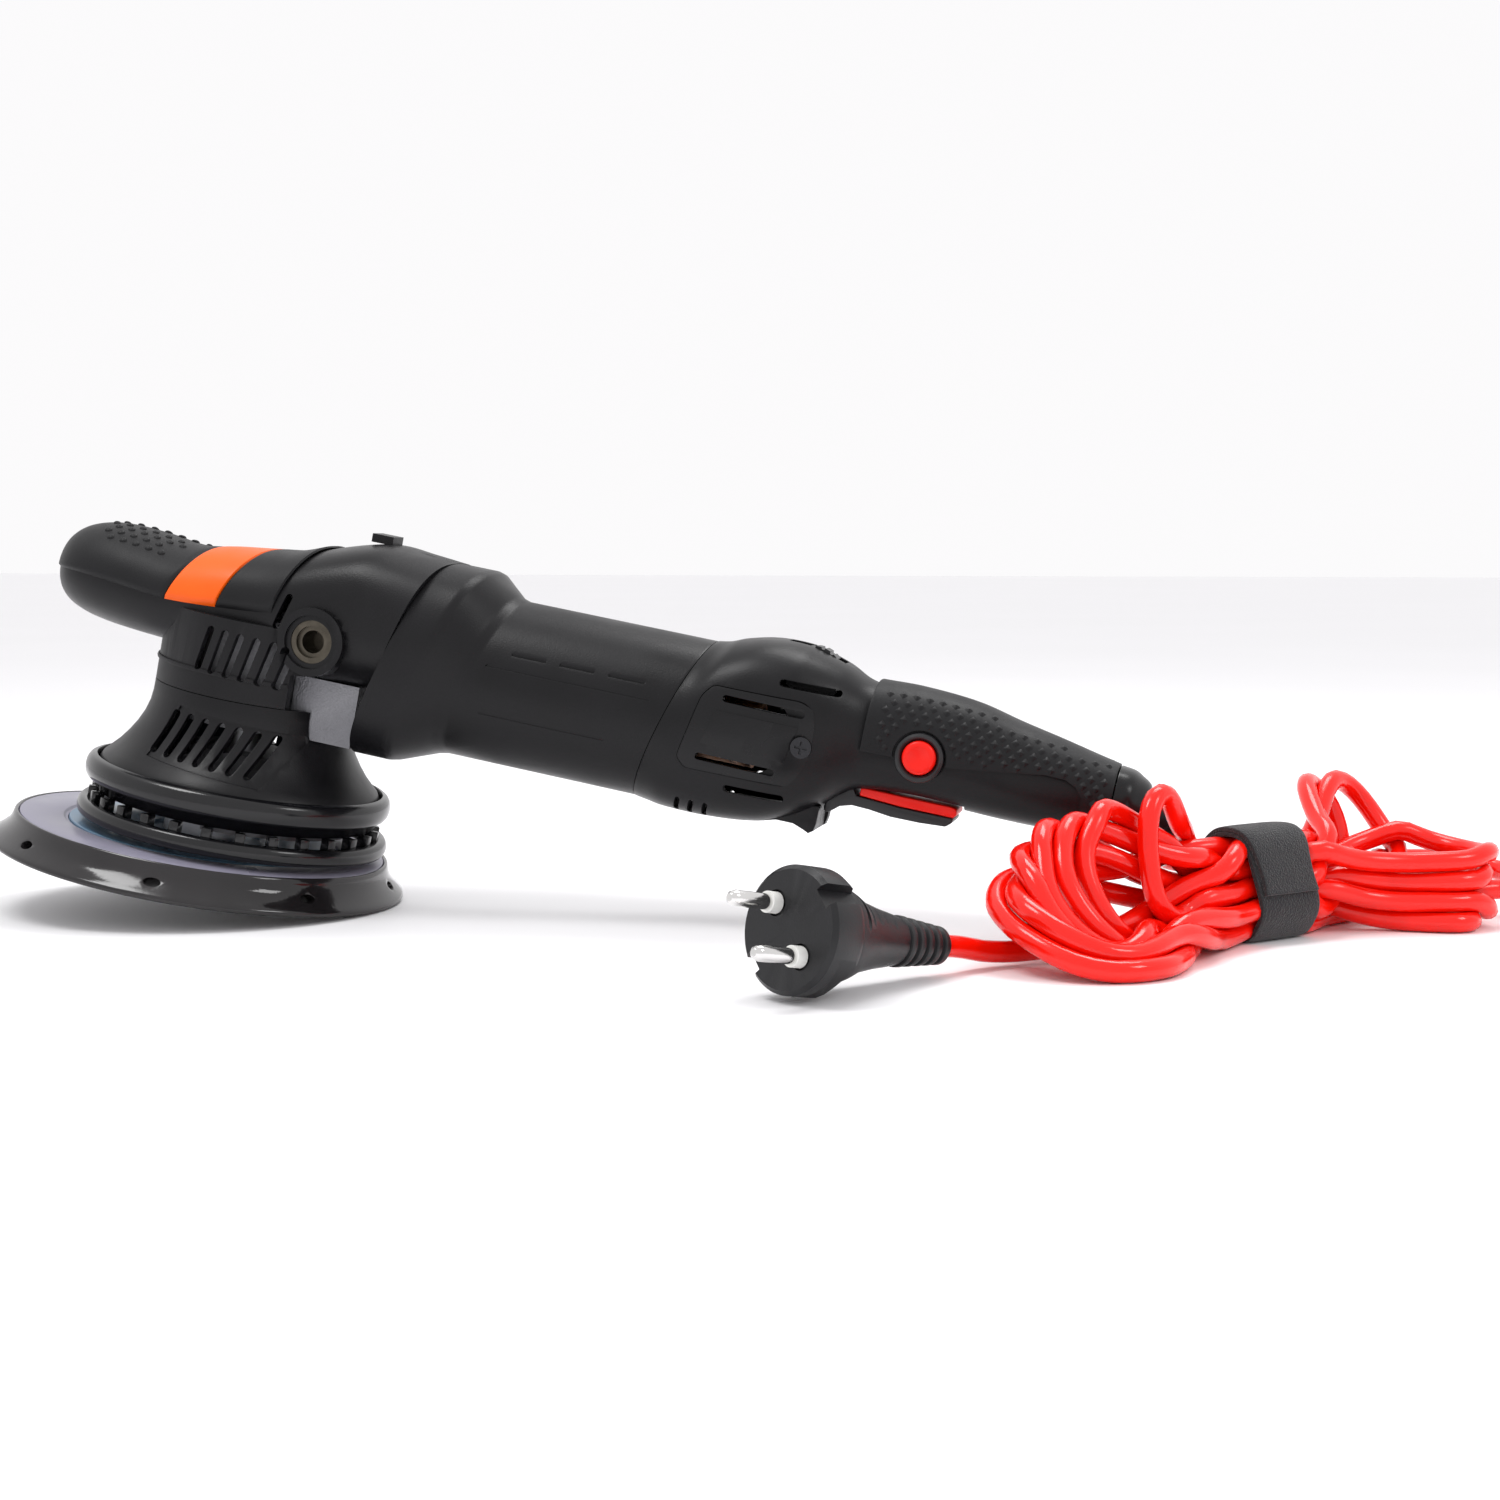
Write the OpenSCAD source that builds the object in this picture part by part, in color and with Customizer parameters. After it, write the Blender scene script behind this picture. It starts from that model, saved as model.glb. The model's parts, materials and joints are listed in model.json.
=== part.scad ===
// Long-neck random-orbital sander and polisher, resting on its pad rim and its tied cord.
// Every part is drawn in the tool's own upright frame: +X towards the handle, +Z up the spindle,
// pad face at z = 0, spindle axis at x = y = 0. place() then lays the tool down as it rests.

/* [Overall] */
// Height of the motor axis above the pad face
axis_h = 90; // [88:1:93]
// Pitch at which the tool rests, tail low
rest_pitch = 11; // [10:0.5:12]
// Radius of the motor barrel
barrel_r = 29.3; // [28.8:0.1:31]
// Length of the rear handle, from the housing to the tail
handle_l = 97; // [92:1:115]
// Backward lean of the joints between the casings
seam_slant = 17; // [12:1:18]

/* [Pad] */
// Radius of the backing plate's rim
pad_r = 75; // [66:1:76]
// Orbit radius: how far the pad axis is from the spindle axis
orbit_r = 10.5; // [6:0.5:10.5]
// Height of the backing plate
pad_h = 12; // [10:0.5:12.5]
// Radius of the upper edge of the pad skirt
skirt_top_r = 67; // [62:1:68]
// Number of air holes in the skirt
air_hole_count = 8; // [6:1:10]

/* [Head] */
// Outer radius of the collar and guard rings
collar_r = 55; // [53:0.5:57]
// Radius of the neck above the shroud
neck_r = 35.5; // [35:0.5:37]
// Half-width of the head casing at the side-handle bosses
head_half_w = 32; // [31:0.5:34]
// Wall of the moulded casings
shell_wall = 2.6; // [2:0.1:3]
// Thread radius of the side-handle inserts
insert_r = 4; // [3:0.5:5]
// Number of slots in each shroud vent
shroud_slots = 7; // [4:1:7]
// Number of slots in each head vent
head_slots = 6; // [3:1:6]

/* [Drive] */
// Teeth of the bevel gear
gear_teeth = 36; // [36:12:36]
// Teeth of the bevel pinion
pinion_teeth = 12; // [12:12:12]
// Radius of the spindle
spindle_r = 6; // [5:0.5:6.5]
// Radius of the armature shaft
armature_r = 4; // [3.5:0.5:4.5]
// Radius of the armature core
core_r = 17; // [15:0.5:18]
// Radial running clearance of shafts in bores
run_gap = 0.05; // [0.02:0.01:0.1]

/* [Controls] */
// Travel of the trigger about its pin
trigger_angle = 7; // [4:0.5:8]
// Radius of the lock button
button_r = 5.8; // [5:0.2:6.5]
// Travel of the lock button
button_travel = 2.5; // [2:0.5:3]
// Radius of the speed dial
dial_r = 10; // [9:0.5:10.5]

/* [Cord] */
// Diameter of the supply cord
cord_d = 7; // [6:0.5:8]
// Length of the tied hank
hank_l = 222; // [200:1:236]
// Height of the tied hank
hank_h = 33; // [28:1:34]
// Width of the tied hank
hank_w = 36; // [32:1:40]
// Width of the cord tie
tie_w = 28; // [22:1:32]
// Radius of the plug's face
plug_r = 19; // [18:0.5:19.5]

/* [Hidden] */
$fn = 64;

// Fits
part_gap = 0.4;
face_gap = 0.3;
skin_t = 1.6;
palm_lean = 0.38;
eps = 0.02;

// Places along the motor axis, at axis height
seam_front_x = 56.5;
flange_end_x = 70;
barrel_start_x = 85;
seam_rear_x = 157;
housing_end_x = 225;
tail_x = housing_end_x + handle_l;
slope = tan(seam_slant);
flange_half_w = head_half_w + 2;
flange_half_h = 36.5;

// Pad and skirt
hook_drop = 0.9;
hook_r = pad_r - 4;
pad_top_z = pad_h;

// Head stack, from the pad up
guard_z = pad_top_z + 2.8;
guard_h = 6.4;
collar_z = guard_z + 13.7;
collar_h = 7.7;
shroud_top_z = 67;

// Bevel pair: both cones share the point where the two axes meet
pitch_slope = gear_teeth / pinion_teeth;
gear_outer_r = 21.5;
gear_inner_r = 13.5;
root_share = 0.84;
tip_share = 1.14;

// Motor
front_bearing_x = 33;
fan_x = 59.5;
core_x = 92;
core_l = 46;
commutator_x = 166;
commutator_l = 20;
rear_bearing_x = 192;
brush_x = 176;

// Trigger, button and dial
trigger_pivot_x = 218;
trigger_pivot_z = axis_h - 11;
trigger_pin_l = 22;
trigger_pin_r = 1.5;
cover_screw_x = 207;
cover_screw_z = axis_h + 2.6;
cover_screw_r = 2.2;
trigger_end_x = 259;
trigger_half_w = 8.5;
button_x = 245;
button_z = axis_h + 6.2;
dial_x = 201.5;
dial_z = axis_h + 25;
boss_x = 31;
boss_z = axis_h + 3;
boss_r = 12;

// Cord, tie and plug, in the resting frame
cord_r = cord_d / 2;
hank_angle = 49;
hank_centre = [370, 2];
tie_floor = 0.2;
tie_t = 1.5;
plug_rear = [277, -98];
plug_angle = 56.3;
plug_roll = 41;
plug_lean = 10.4;
boot_start = [tail_x - 6, axis_h + 3.8];
boot_l = 22;
plug_l = 66;
plug_face_t = 14;
pin_spread = 9.5;

// The resting pose: the pad has swung to the head side and its tail-side rim is on the floor
pad_x = -orbit_r;
rim_low = (pad_r + pad_x) * sin(rest_pitch);
hook_low = (hook_r + pad_x) * sin(rest_pitch) + hook_drop * cos(rest_pitch);
lift = max(rim_low, hook_low);
front_reach = (pad_x - pad_r) * cos(rest_pitch);
boot_reach = tail_x * cos(rest_pitch) + (axis_h + 4) * sin(rest_pitch) + 9.9;
origin_x = (front_reach + boot_reach) / 2;

// Lays the upright tool down as it rests, with the origin under the middle of its length
module place() {
    translate([-origin_x, 0, lift])
        rotate([0, rest_pitch, 0])
            children();
}

// ---- Shapes that repeat ----

function signed_power(v, p) = sign(v) * pow(abs(v), p);

// One superellipse ring: s = [x, centre z, half-width, half-height, roundness, shear]
function ring_point(s, a, grow) = let(
        y = (s[2] + grow) * signed_power(cos(a), 2 / s[4]),
        z = (s[3] + grow) * signed_power(sin(a), 2 / s[4]))
    [s[0] + s[5] * (s[1] + z - axis_h), y, s[1] + z];

function full_ring(s, grow, n) = [for (k = [0:n - 1]) ring_point(s, 360 * k / n, grow)];

// Half of a ring on the +Y side, closed by a flat face at the seam
function half_ring(s, grow, n) = [for (k = [0:n / 2]) let(
        p = ring_point(s, -90 + 360 * k / n, grow))
    [p[0], max(p[1], 0), p[2]]];

// Triangles over the end of a folded ring, whose second half runs back along its first
function folded_end(n, base, flip) = [for (k = [0:n / 2 - 2], t = [
        [k, k + 1, n - 2 - k], [k, n - 2 - k, n - 1 - k]])
    flip ? [base + t[0], base + t[2], base + t[1]] : [for (v = t) base + v]];

// A closed skin over rings with equal point counts
module skin(rings, folded = false) {
    n = len(rings[0]);
    m = len(rings);
    points = [for (r = rings) each r];
    sides = [for (i = [0:m - 2], j = [0:n - 1]) let(
            a = i * n + j, b = i * n + (j + 1) % n)
        each [[a, b + n, b], [a, a + n, b + n]]];
    front = folded ? folded_end(n, 0, false) : [[for (j = [0:n - 1]) j]];
    back = folded ? folded_end(n, (m - 1) * n, true) : [[for (j = [n - 1:-1:0]) (m - 1) * n + j]];
    polyhedron(points, concat(sides, front, back), convexity = 6);
}

module body_loft(stations, grow = 0, n = 36) {
    skin([for (s = stations) full_ring(s, grow, n)]);
}

module half_loft(stations, grow = 0, n = 36) {
    skin([for (s = stations) half_ring(s, grow, n)]);
}

// Everything on the +X side of a leaning joint plane that crosses the motor axis at x
module behind_seam(x) {
    translate([x, 0, axis_h])
        rotate([0, seam_slant, 0])
            translate([0, -100, -150])
                cube([400, 200, 300]);
}

module tube(outer, inner, h) {
    difference() {
        cylinder(r = outer, h = h);
        translate([0, 0, -1])
            cylinder(r = inner, h = h + 2);
    }
}

// A cylinder along +X, centred on the motor axis
module along_x(x, r, l) {
    translate([x, 0, axis_h])
        rotate([0, 90, 0])
            cylinder(r = r, h = l);
}

module ring_x(x, outer, inner, l) {
    translate([x, 0, axis_h])
        rotate([0, 90, 0])
            tube(outer, inner, l);
}

// A slot with round ends cut along Y: from [x, z] at the middle, leaning by a
module slot(x, z, l, w, a, y0 = -60, y1 = 60) {
    translate([x, y1, z])
        rotate([90, 0, 0])
            rotate([0, 0, a]) {
                translate([-l / 2 + w / 2, -w / 2, 0])
                    cube([l - w, w, y1 - y0]);
                for (s = [-1, 1])
                    translate([s * (l / 2 - w / 2), 0, 0])
                        cylinder(r = w / 2, h = y1 - y0, $fn = 24);
            }
}

// A ball bearing: two races and a shield between them
module bearing(outer, inner, w) {
    race = (outer - inner) / 3.4;
    rotate_extrude()
        polygon([[inner, 0], [inner + race, 0], [inner + race, 0.6], [outer - race, 0.6],
            [outer - race, 0], [outer, 0], [outer, w], [outer - race, w], [outer - race, w - 0.6],
            [inner + race, w - 0.6], [inner + race, w], [inner, w]]);
}

module screw(head_r, head_h, shank_r, shank_l) {
    difference() {
        union() {
            cylinder(r = head_r, h = head_h, $fn = 32);
            translate([0, 0, -shank_l])
                cylinder(r = shank_r, h = shank_l + eps, $fn = 32);
        }
        for (a = [0, 90])
            rotate([0, 0, a])
                translate([-head_r * 0.6, -head_r * 0.12, head_h * 0.5])
                    cube([head_r * 1.2, head_r * 0.24, head_h]);
    }
}

// ---- Head casing ----

// x, centre z, half-width, half-height, roundness, shear
function head_stations() = [
    [-79.5, axis_h + 8.5, 6, 6, 2, 0],
    [-77.5, axis_h + 8.7, 12, 10, 2, 0],
    [-72, axis_h + 9, 18.5, 14, 2.1, 0],
    [-62, axis_h + 9.2, 23.5, 17.6, 2.2, 0],
    [-46, axis_h + 8.8, 26.5, 19, 2.3, 0],
    [-26, axis_h + 8, head_half_w - 3.5, 20.2, 2.4, 0],
    [-4, axis_h + 8, head_half_w - 1.5, 21.5, 2.5, 0.03],
    [14, axis_h + 9.5, head_half_w - 0.5, 23, 2.6, 0.12],
    [30, axis_h + 13, head_half_w, 26, 2.7, 0.22],
    [42, axis_h + 13.4, head_half_w + 1, 25.2, 2.8, slope],
    [seam_front_x - 0.2, axis_h + 13, head_half_w + 2, 24.6, 2.8, slope]
];

module neck(r) {
    translate([0, 0, shroud_top_z])
        cylinder(r = r, h = axis_h - shroud_top_z + 4);
}

module head_slot_row() {
    for (k = [0:head_slots - 1])
        slot(-7 + k * 5.6, axis_h - 6.6 - k * 0.4, 17, 2.6, 78);
    slot(17.7, axis_h + 11, 13, 2.4, 73);
}

module head_half() {
    difference() {
        union() {
            difference() {
                half_loft(head_stations());
                half_loft(head_stations(), -shell_wall);
                behind_seam(seam_front_x - 0.5);
            }
            difference() {
                intersection() {
                    neck(neck_r);
                    translate([-60, 0, 0])
                        cube([120, 60, 200]);
                }
                casing_hollow();
            }
            translate([boss_x, head_half_w - 11, boss_z])
                rotate([-90, 0, 0])
                    cylinder(r = boss_r, h = 14);
        }
        translate([0, 0, shroud_top_z - 1])
            cylinder(r = neck_r - shell_wall, h = axis_h - shroud_top_z + 16);
        translate([boss_x, 10, boss_z])
            rotate([-90, 0, 0])
                cylinder(r = 7.5 + eps, h = 40);
        gear_case_window();
        head_slot_row();
    }
}

// Room inside the casing, kept clear of the neck
module casing_hollow() {
    half_loft(head_stations(), -shell_wall + eps);
}

// Opening under the casing where the gear case shows
module gear_case_window() {
    translate([22, -60, shroud_top_z - 10])
        cube([60, 120, axis_h - shroud_top_z + 2.5]);
}

module head_shell_left() {
    color([0.07, 0.065, 0.075])
        place()
            head_half();
}

module head_shell_right() {
    color([0.07, 0.065, 0.075])
        place()
            mirror([0, 1, 0])
                head_half();
}

// Head station worked out at any x between the listed ones
function at_x(st, x) = let(
        i = max([for (k = [0:len(st) - 2]) st[k][0] <= x ? k : 0]),
        f = (x - st[i][0]) / (st[i + 1][0] - st[i][0]))
    st[i] + (st[i + 1] - st[i]) * f;

function palm_point(x, lean, a, grow) = let(
        s = at_x(head_stations(), x + lean * 20 * sin(a)))
    [x + lean * 20 * sin(a), ring_point(s, a, grow)[1], ring_point(s, a, grow)[2]];

// Palm skins: the upper half of the palm, over the casing, one ring for each [x, lean]
module palm_skin(places) {
    n = 18;
    skin([for (p = places)
        concat([for (k = [0:n]) palm_point(p[0], p[1], 180 * k / n, skin_t)],
            [for (k = [n:-1:0]) palm_point(p[0], p[1], 180 * k / n, face_gap / 5)])], folded = true);
}

module palm_grip_front() {
    color([0.06, 0.06, 0.065])
        place()
            palm_skin([[-79.4, 0], [-77.5, 0], [-72, 0], [-62, 0], [-46, 0], [-37, palm_lean / 2],
                [-28, palm_lean]]);
}

module palm_band() {
    color([1, 0.36, 0])
        place()
            palm_skin([for (i = [0:4]) [-27.7 + 5.025 * i, palm_lean]]);
}

module palm_grip_rear() {
    color([0.06, 0.06, 0.065])
        place()
            palm_skin([for (i = [0:4]) [-7.3 + 5.075 * i, palm_lean * (1 - i / 8)]]);
}

module seam_clip() {
    color([0.06, 0.06, 0.065])
        place()
            translate([36, -5, axis_h + 39.4])
                cube([8, 10, 3]);
}

// ---- Gear case: the cast block that holds the bevel pair and the spindle bearings ----

module gear_case() {
    color([0.62, 0.62, 0.63])
        place()
            difference() {
                union() {
                    translate([0, 0, 56])
                        cylinder(r = 27, h = axis_h - 56 + 6);
                    translate([0, 0, axis_h])
                        cylinder(r = 15.5, h = 18);
                    along_x(10, 17.5, 36);
                    gear_case_block(0);
                }
                translate([0, 0, 72])
                    cylinder(r = gear_outer_r + 2, h = axis_h - 72 + 3);
                along_x(4, 10.5, 28);
                along_x(front_bearing_x - 2, 13, 20);
                along_x(28, 8, 20);
                translate([0, 0, 50])
                    cylinder(r = 17.5, h = 11 + 8);
                translate([0, 0, 60])
                    cylinder(r = 10, h = 30);
                translate([0, 0, axis_h + 9])
                    cylinder(r = 11, h = 12);
                translate([0, 0, axis_h])
                    cylinder(r = 7.5, h = 14);
            }
}

// The block under the motor end of the gear case, seen between the head and the shroud
module gear_case_block(grow) {
    translate([22 - grow, -19 - grow, 57 - grow])
        cube([24 + 2 * grow, 38 + 2 * grow, 22 + 2 * grow]);
}

module spindle_bearing_upper() {
    color([0.75, 0.75, 0.76])
        place()
            translate([0, 0, axis_h + 9])
                bearing(11, spindle_r - 2, 7);
}

module spindle_bearing_lower() {
    color([0.75, 0.75, 0.76])
        place()
            translate([0, 0, 58])
                bearing(17.5, spindle_r + 1.5, 11);
}

// ---- Shroud, collar and guard ring ----

module shroud() {
    wall = 3;
    color([0.07, 0.065, 0.075])
        place()
            difference() {
                rotate_extrude($fn = 96)
                    polygon([[neck_r - wall, shroud_top_z - face_gap],
                        [neck_r, shroud_top_z - face_gap], [neck_r + 0.3, 60], [neck_r + 1.5, 55],
                        [neck_r + 5, 48], [neck_r + 9.5, 42], [neck_r + 14, 37.5],
                        [neck_r + 15, 35.5], [neck_r + 15, 33.5], [neck_r + 11, 33.5],
                        [neck_r + 7, 39.5], [neck_r + 2.5, 45.5], [neck_r - 1, 52],
                        [neck_r - 3, 56]]);
                for (k = [0:shroud_slots - 1])
                    slot(-17 + k * 6, 51.6 - k * 0.3, 17, 2.8, 73);
                gear_case_block(part_gap);
            }
}

module collar_ring() {
    inner = neck_r + 15.4;
    color([0.03, 0.03, 0.035])
        place()
            rotate_extrude($fn = 96)
                polygon([[inner, collar_z + 2], [inner - 3, collar_z + 2], [inner - 3, collar_z],
                    [inner - 1, collar_z - 4], [collar_r - 3, collar_z - 1.5],
                    [collar_r - 0.8, collar_z], [collar_r, collar_z + 1.5],
                    [collar_r - 0.3, collar_z + collar_h - 1],
                    [collar_r - 1.5, collar_z + collar_h + 1],
                    [collar_r - 3, collar_z + collar_h + 1], [inner, collar_z + collar_h - 1]]);
}

// Lower guard ring, hung from the collar by ribs so that cooling air leaves between them
module guard_ring() {
    rib_count = 28;
    inner = collar_r - 7;
    color([0.03, 0.03, 0.035])
        place() {
            rotate_extrude($fn = 96)
                polygon([[inner, guard_z + 1.5], [collar_r - 1, guard_z],
                    [collar_r + 0.8, guard_z + 1.8], [collar_r + 1, guard_z + guard_h - 1.4],
                    [collar_r, guard_z + guard_h], [collar_r - 2, guard_z + guard_h],
                    [inner, guard_z + guard_h - 2]]);
            for (k = [0:rib_count - 1])
                rotate([0, 0, 360 * k / rib_count])
                    translate([inner + 0.3, -0.9, guard_z + guard_h - 2.6])
                        cube([3.2, 1.8, collar_z - guard_z - guard_h + 2.6 - 4.4]);
        }
}

module handle_insert(side) {
    color([0.6, 0.52, 0.34])
        place()
            translate([boss_x, side * (head_half_w + 1), boss_z])
                rotate([side * 90, 0, 0])
                    difference() {
                        cylinder(r = 7.5, h = 15);
                        translate([0, 0, -1])
                            cylinder(r = insert_r, h = 13);
                        translate([0, 0, -1])
                            cylinder(r = insert_r + 1.6, h = 2.5);
                    }
}

// ---- Bevel pair ----

// Tooth outline in one plane; straight flanks, pitch radius r
module bevel_outline(r, teeth) {
    step = 360 / teeth;
    polygon([for (k = [0:teeth - 1], c = [
            [root_share, -0.36], [tip_share, -0.11], [tip_share, 0.11], [root_share, 0.36]])
        let(a = (k + c[1]) * step, q = r * (teeth == gear_teeth ? c[0] : 1 + (c[0] - 1) * 1.05))
        [q * cos(a), q * sin(a)]]);
}

module bevel_gear() {
    drop = gear_outer_r / pitch_slope;
    top = gear_inner_r / pitch_slope;
    base = drop + 1.2;
    color([0.55, 0.56, 0.58])
        place()
            difference() {
                intersection() {
                    translate([0, 0, axis_h - base])
                        rotate([0, 0, 180 / gear_teeth])
                            linear_extrude(height = base - top, scale = top / base)
                                bevel_outline(base * pitch_slope, gear_teeth);
                    translate([0, 0, axis_h - base])
                        cylinder(r = gear_outer_r, h = base - top);
                }
                translate([0, 0, axis_h - base - 1])
                    cylinder(r = spindle_r, h = base + 2);
            }
}

module bevel_pinion() {
    color([0.6, 0.61, 0.63])
        place()
            difference() {
                translate([gear_outer_r, 0, axis_h])
                    rotate([0, -90, 0])
                        linear_extrude(height = gear_outer_r - gear_inner_r,
                                scale = gear_inner_r / gear_outer_r)
                            bevel_outline(gear_outer_r / pitch_slope, pinion_teeth);
                along_x(0, 3, 40);
            }
}

// ---- Crank: spindle, counterweight and the bearings of the pad ----

module spindle() {
    color([0.6, 0.61, 0.63])
        place()
            union() {
                translate([0, 0, 46])
                    cylinder(r = spindle_r, h = axis_h + 8 - 46);
                translate([0, 0, 46])
                    cylinder(r = spindle_r + 1.5 - run_gap, h = 30);
                translate([0, 0, axis_h + 8 - eps])
                    cylinder(r = spindle_r - 2 - run_gap, h = 9);
            }
}

module counterweight() {
    color([0.5, 0.5, 0.52])
        place()
            difference() {
                union() {
                    translate([pad_x, 0, 20])
                        cylinder(r = 18, h = 22);
                    intersection() {
                        translate([0, 0, 22])
                            tube(44, 12, 13);
                        translate([6, -60, 0])
                            cube([60, 120, 60]);
                    }
                    translate([0, 0, 38])
                        cylinder(r = 20, h = 8);
                    translate([-6, -14, 30])
                        cube([26, 28, 10]);
                }
                translate([pad_x, 0, 10])
                    cylinder(r = 14, h = 28);
            }
}

module pad_bearings() {
    color([0.75, 0.75, 0.76])
        place()
            for (z = [21, 29.5])
                translate([pad_x, 0, z])
                    bearing(14, spindle_r, 8);
}

// ---- Pad ----

module pad_spindle() {
    color([0.55, 0.56, 0.58])
        place()
            translate([pad_x, 0, 0])
                difference() {
                    union() {
                        translate([0, 0, pad_top_z + face_gap])
                            cylinder(r = 15, h = 5);
                        translate([0, 0, pad_top_z + 4])
                            cylinder(r = spindle_r - run_gap, h = 21.5);
                    }
                    translate([0, 0, 10])
                        cylinder(r = 3.4, h = 18);
                }
}

module backing_plate() {
    color([0.37, 0.5, 0.6])
        place()
            translate([pad_x, 0, 0])
                rotate_extrude($fn = 96)
                    polygon([[4.2, 5], [17, 5], [24, 8], [skirt_top_r - 4, 8],
                        [skirt_top_r - 1.2, pad_top_z - 1.5], [skirt_top_r - 1.2, pad_top_z],
                        [49, pad_top_z], [48, pad_top_z - 0.8], [22, pad_top_z - 0.8],
                        [20, pad_top_z], [4.2, pad_top_z]]);
}

module pad_skirt() {
    color([0.2, 0.18, 0.2])
        place()
            translate([pad_x, 0, 0])
                difference() {
                    rotate_extrude($fn = 96)
                        polygon([[10, 1.5], [hook_r + 1, 1.5], [hook_r + 1, 0], [pad_r - 0.4, 0],
                            [pad_r, 0.8], [pad_r - 0.6, 2.2], [skirt_top_r + 3, 6],
                            [skirt_top_r + 0.8, pad_top_z - 2], [skirt_top_r, pad_top_z],
                            [skirt_top_r - 1, pad_top_z], [skirt_top_r - 1, pad_top_z - 1.7],
                            [skirt_top_r - 4, 7.8], [24.2, 7.8], [17, 4.8], [10, 4.8]]);
                    for (k = [0:air_hole_count - 1])
                        rotate([0, 0, 360 * k / air_hole_count + 11])
                            translate([pad_r - 9, 0, 5.2])
                                rotate([0, 80, 0])
                                    cylinder(r = 1.8, h = 20, $fn = 24);
                }
}

module hook_face() {
    color([0.08, 0.08, 0.09])
        place()
            translate([pad_x, 0, -hook_drop])
                tube(hook_r, 10, hook_drop + 1.5);
}

module pad_screw() {
    color([0.45, 0.45, 0.47])
        place()
            translate([pad_x, 0, 0])
                difference() {
                    union() {
                        translate([0, 0, 1])
                            cylinder(r = 6.5, h = 4);
                        translate([0, 0, 4])
                            cylinder(r = 3.4, h = 20);
                    }
                    translate([0, 0, 0])
                        cylinder(r = 3, h = 3.5, $fn = 6);
                }
}

// ---- Motor ----

function housing_stations() = [
    [seam_front_x, axis_h + 1, flange_half_w, flange_half_h, 2.7, slope],
    [flange_end_x, axis_h + 1, flange_half_w, flange_half_h, 2.7, slope],
    [barrel_start_x, axis_h, barrel_r, barrel_r, 2, slope],
    [seam_rear_x - face_gap, axis_h, barrel_r, barrel_r, 2, slope]
];

module motor_housing() {
    color([0.07, 0.065, 0.075])
        place()
            difference() {
                body_loft(housing_stations(), 0, 48);
                along_x(30, 26.5, 150);
                along_x(30, 30, flange_end_x - 34);
            }
}

module stator() {
    color([0.4, 0.36, 0.32])
        place()
            difference() {
                ring_x(core_x - 2, 26.5, core_r + 1, core_l + 4);
                for (s = [-1, 1])
                    translate([core_x - 3, -30, axis_h + s * 29 - 5])
                        cube([core_l + 6, 60, 10]);
            }
}

module armature_shaft() {
    color([0.6, 0.61, 0.63])
        place() {
            along_x(gear_inner_r - 1, 3, 16);
            along_x(gear_outer_r + 0.5, armature_r + 1 - run_gap, 24);
            along_x(gear_outer_r + 24, armature_r, rear_bearing_x - gear_outer_r - 24);
            along_x(rear_bearing_x - eps, armature_r - run_gap, 7.5);
        }
}

module armature_core() {
    wind = core_r - 3;
    color([0.66, 0.36, 0.16])
        place()
            difference() {
                union() {
                    ring_x(core_x, core_r, armature_r, core_l);
                    ring_x(core_x - 12, wind, armature_r, core_l + 24);
                }
                for (k = [0:11])
                    translate([core_x - 1, 0, axis_h])
                        rotate([k * 30, 0, 0])
                            translate([0, -1, core_r - 2])
                                cube([core_l + 2, 2, 4]);
            }
}

module commutator() {
    color([0.72, 0.45, 0.2])
        place()
            ring_x(commutator_x, 11.5, armature_r, commutator_l);
}

module cooling_fan() {
    blade_count = 10;
    color([0.12, 0.12, 0.13])
        place() {
            ring_x(fan_x, 10, armature_r, 14);
            ring_x(fan_x, 24, 9.9, 2);
            for (k = [0:blade_count - 1])
                translate([fan_x + 1.9, 0, axis_h])
                    rotate([360 * k / blade_count, 0, 0])
                        translate([0, -0.8, 9.8])
                            cube([10, 1.6, 14]);
        }
}

module motor_bearing_front() {
    color([0.75, 0.75, 0.76])
        place()
            translate([front_bearing_x, 0, axis_h])
                rotate([0, 90, 0])
                    bearing(13, armature_r + 1, 10);
}

module motor_bearing_rear() {
    color([0.75, 0.75, 0.76])
        place()
            translate([rear_bearing_x, 0, axis_h])
                rotate([0, 90, 0])
                    bearing(11, armature_r, 7);
}

module brush_holders() {
    color([0.75, 0.6, 0.3])
        place()
            for (s = [-1, 1])
                translate([brush_x - 6, s > 0 ? 12.5 : -25.5, axis_h - 4.5])
                    difference() {
                        cube([12, 13, 9]);
                        translate([2, -1, 2])
                            cube([8, 15, 5]);
                    }
}

module carbon_brushes() {
    color([0.15, 0.15, 0.15])
        place()
            for (s = [-1, 1])
                translate([brush_x - 3.9, s > 0 ? 11.8 : -23.8, axis_h - 2.4])
                    cube([7.8, 12, 4.8]);
}

// ---- Rear housing and handle ----

// x, centre z, half-width, half-height, roundness, shear
function rear_stations() = [
    [seam_rear_x + 0.2, axis_h, barrel_r + 0.2, barrel_r + 0.2, 2, slope],
    [167, axis_h + 1, 30.8, 31.5, 2.5, slope * 0.9],
    [180, axis_h + 2.2, 31, 32.5, 2.9, slope * 0.6],
    [195, axis_h + 3.2, 30.6, 31.6, 2.9, slope * 0.3],
    [204, axis_h + 4.5, 29, 29, 2.8, 0],
    [213, axis_h + 5.6, 25.5, 25, 2.6, 0],
    [housing_end_x - 2, axis_h + 8, 21, 19.8, 2.4, 0],
    [housing_end_x, axis_h + 8.2, 20.4, 19.3, 2.4, 0]
];

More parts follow.
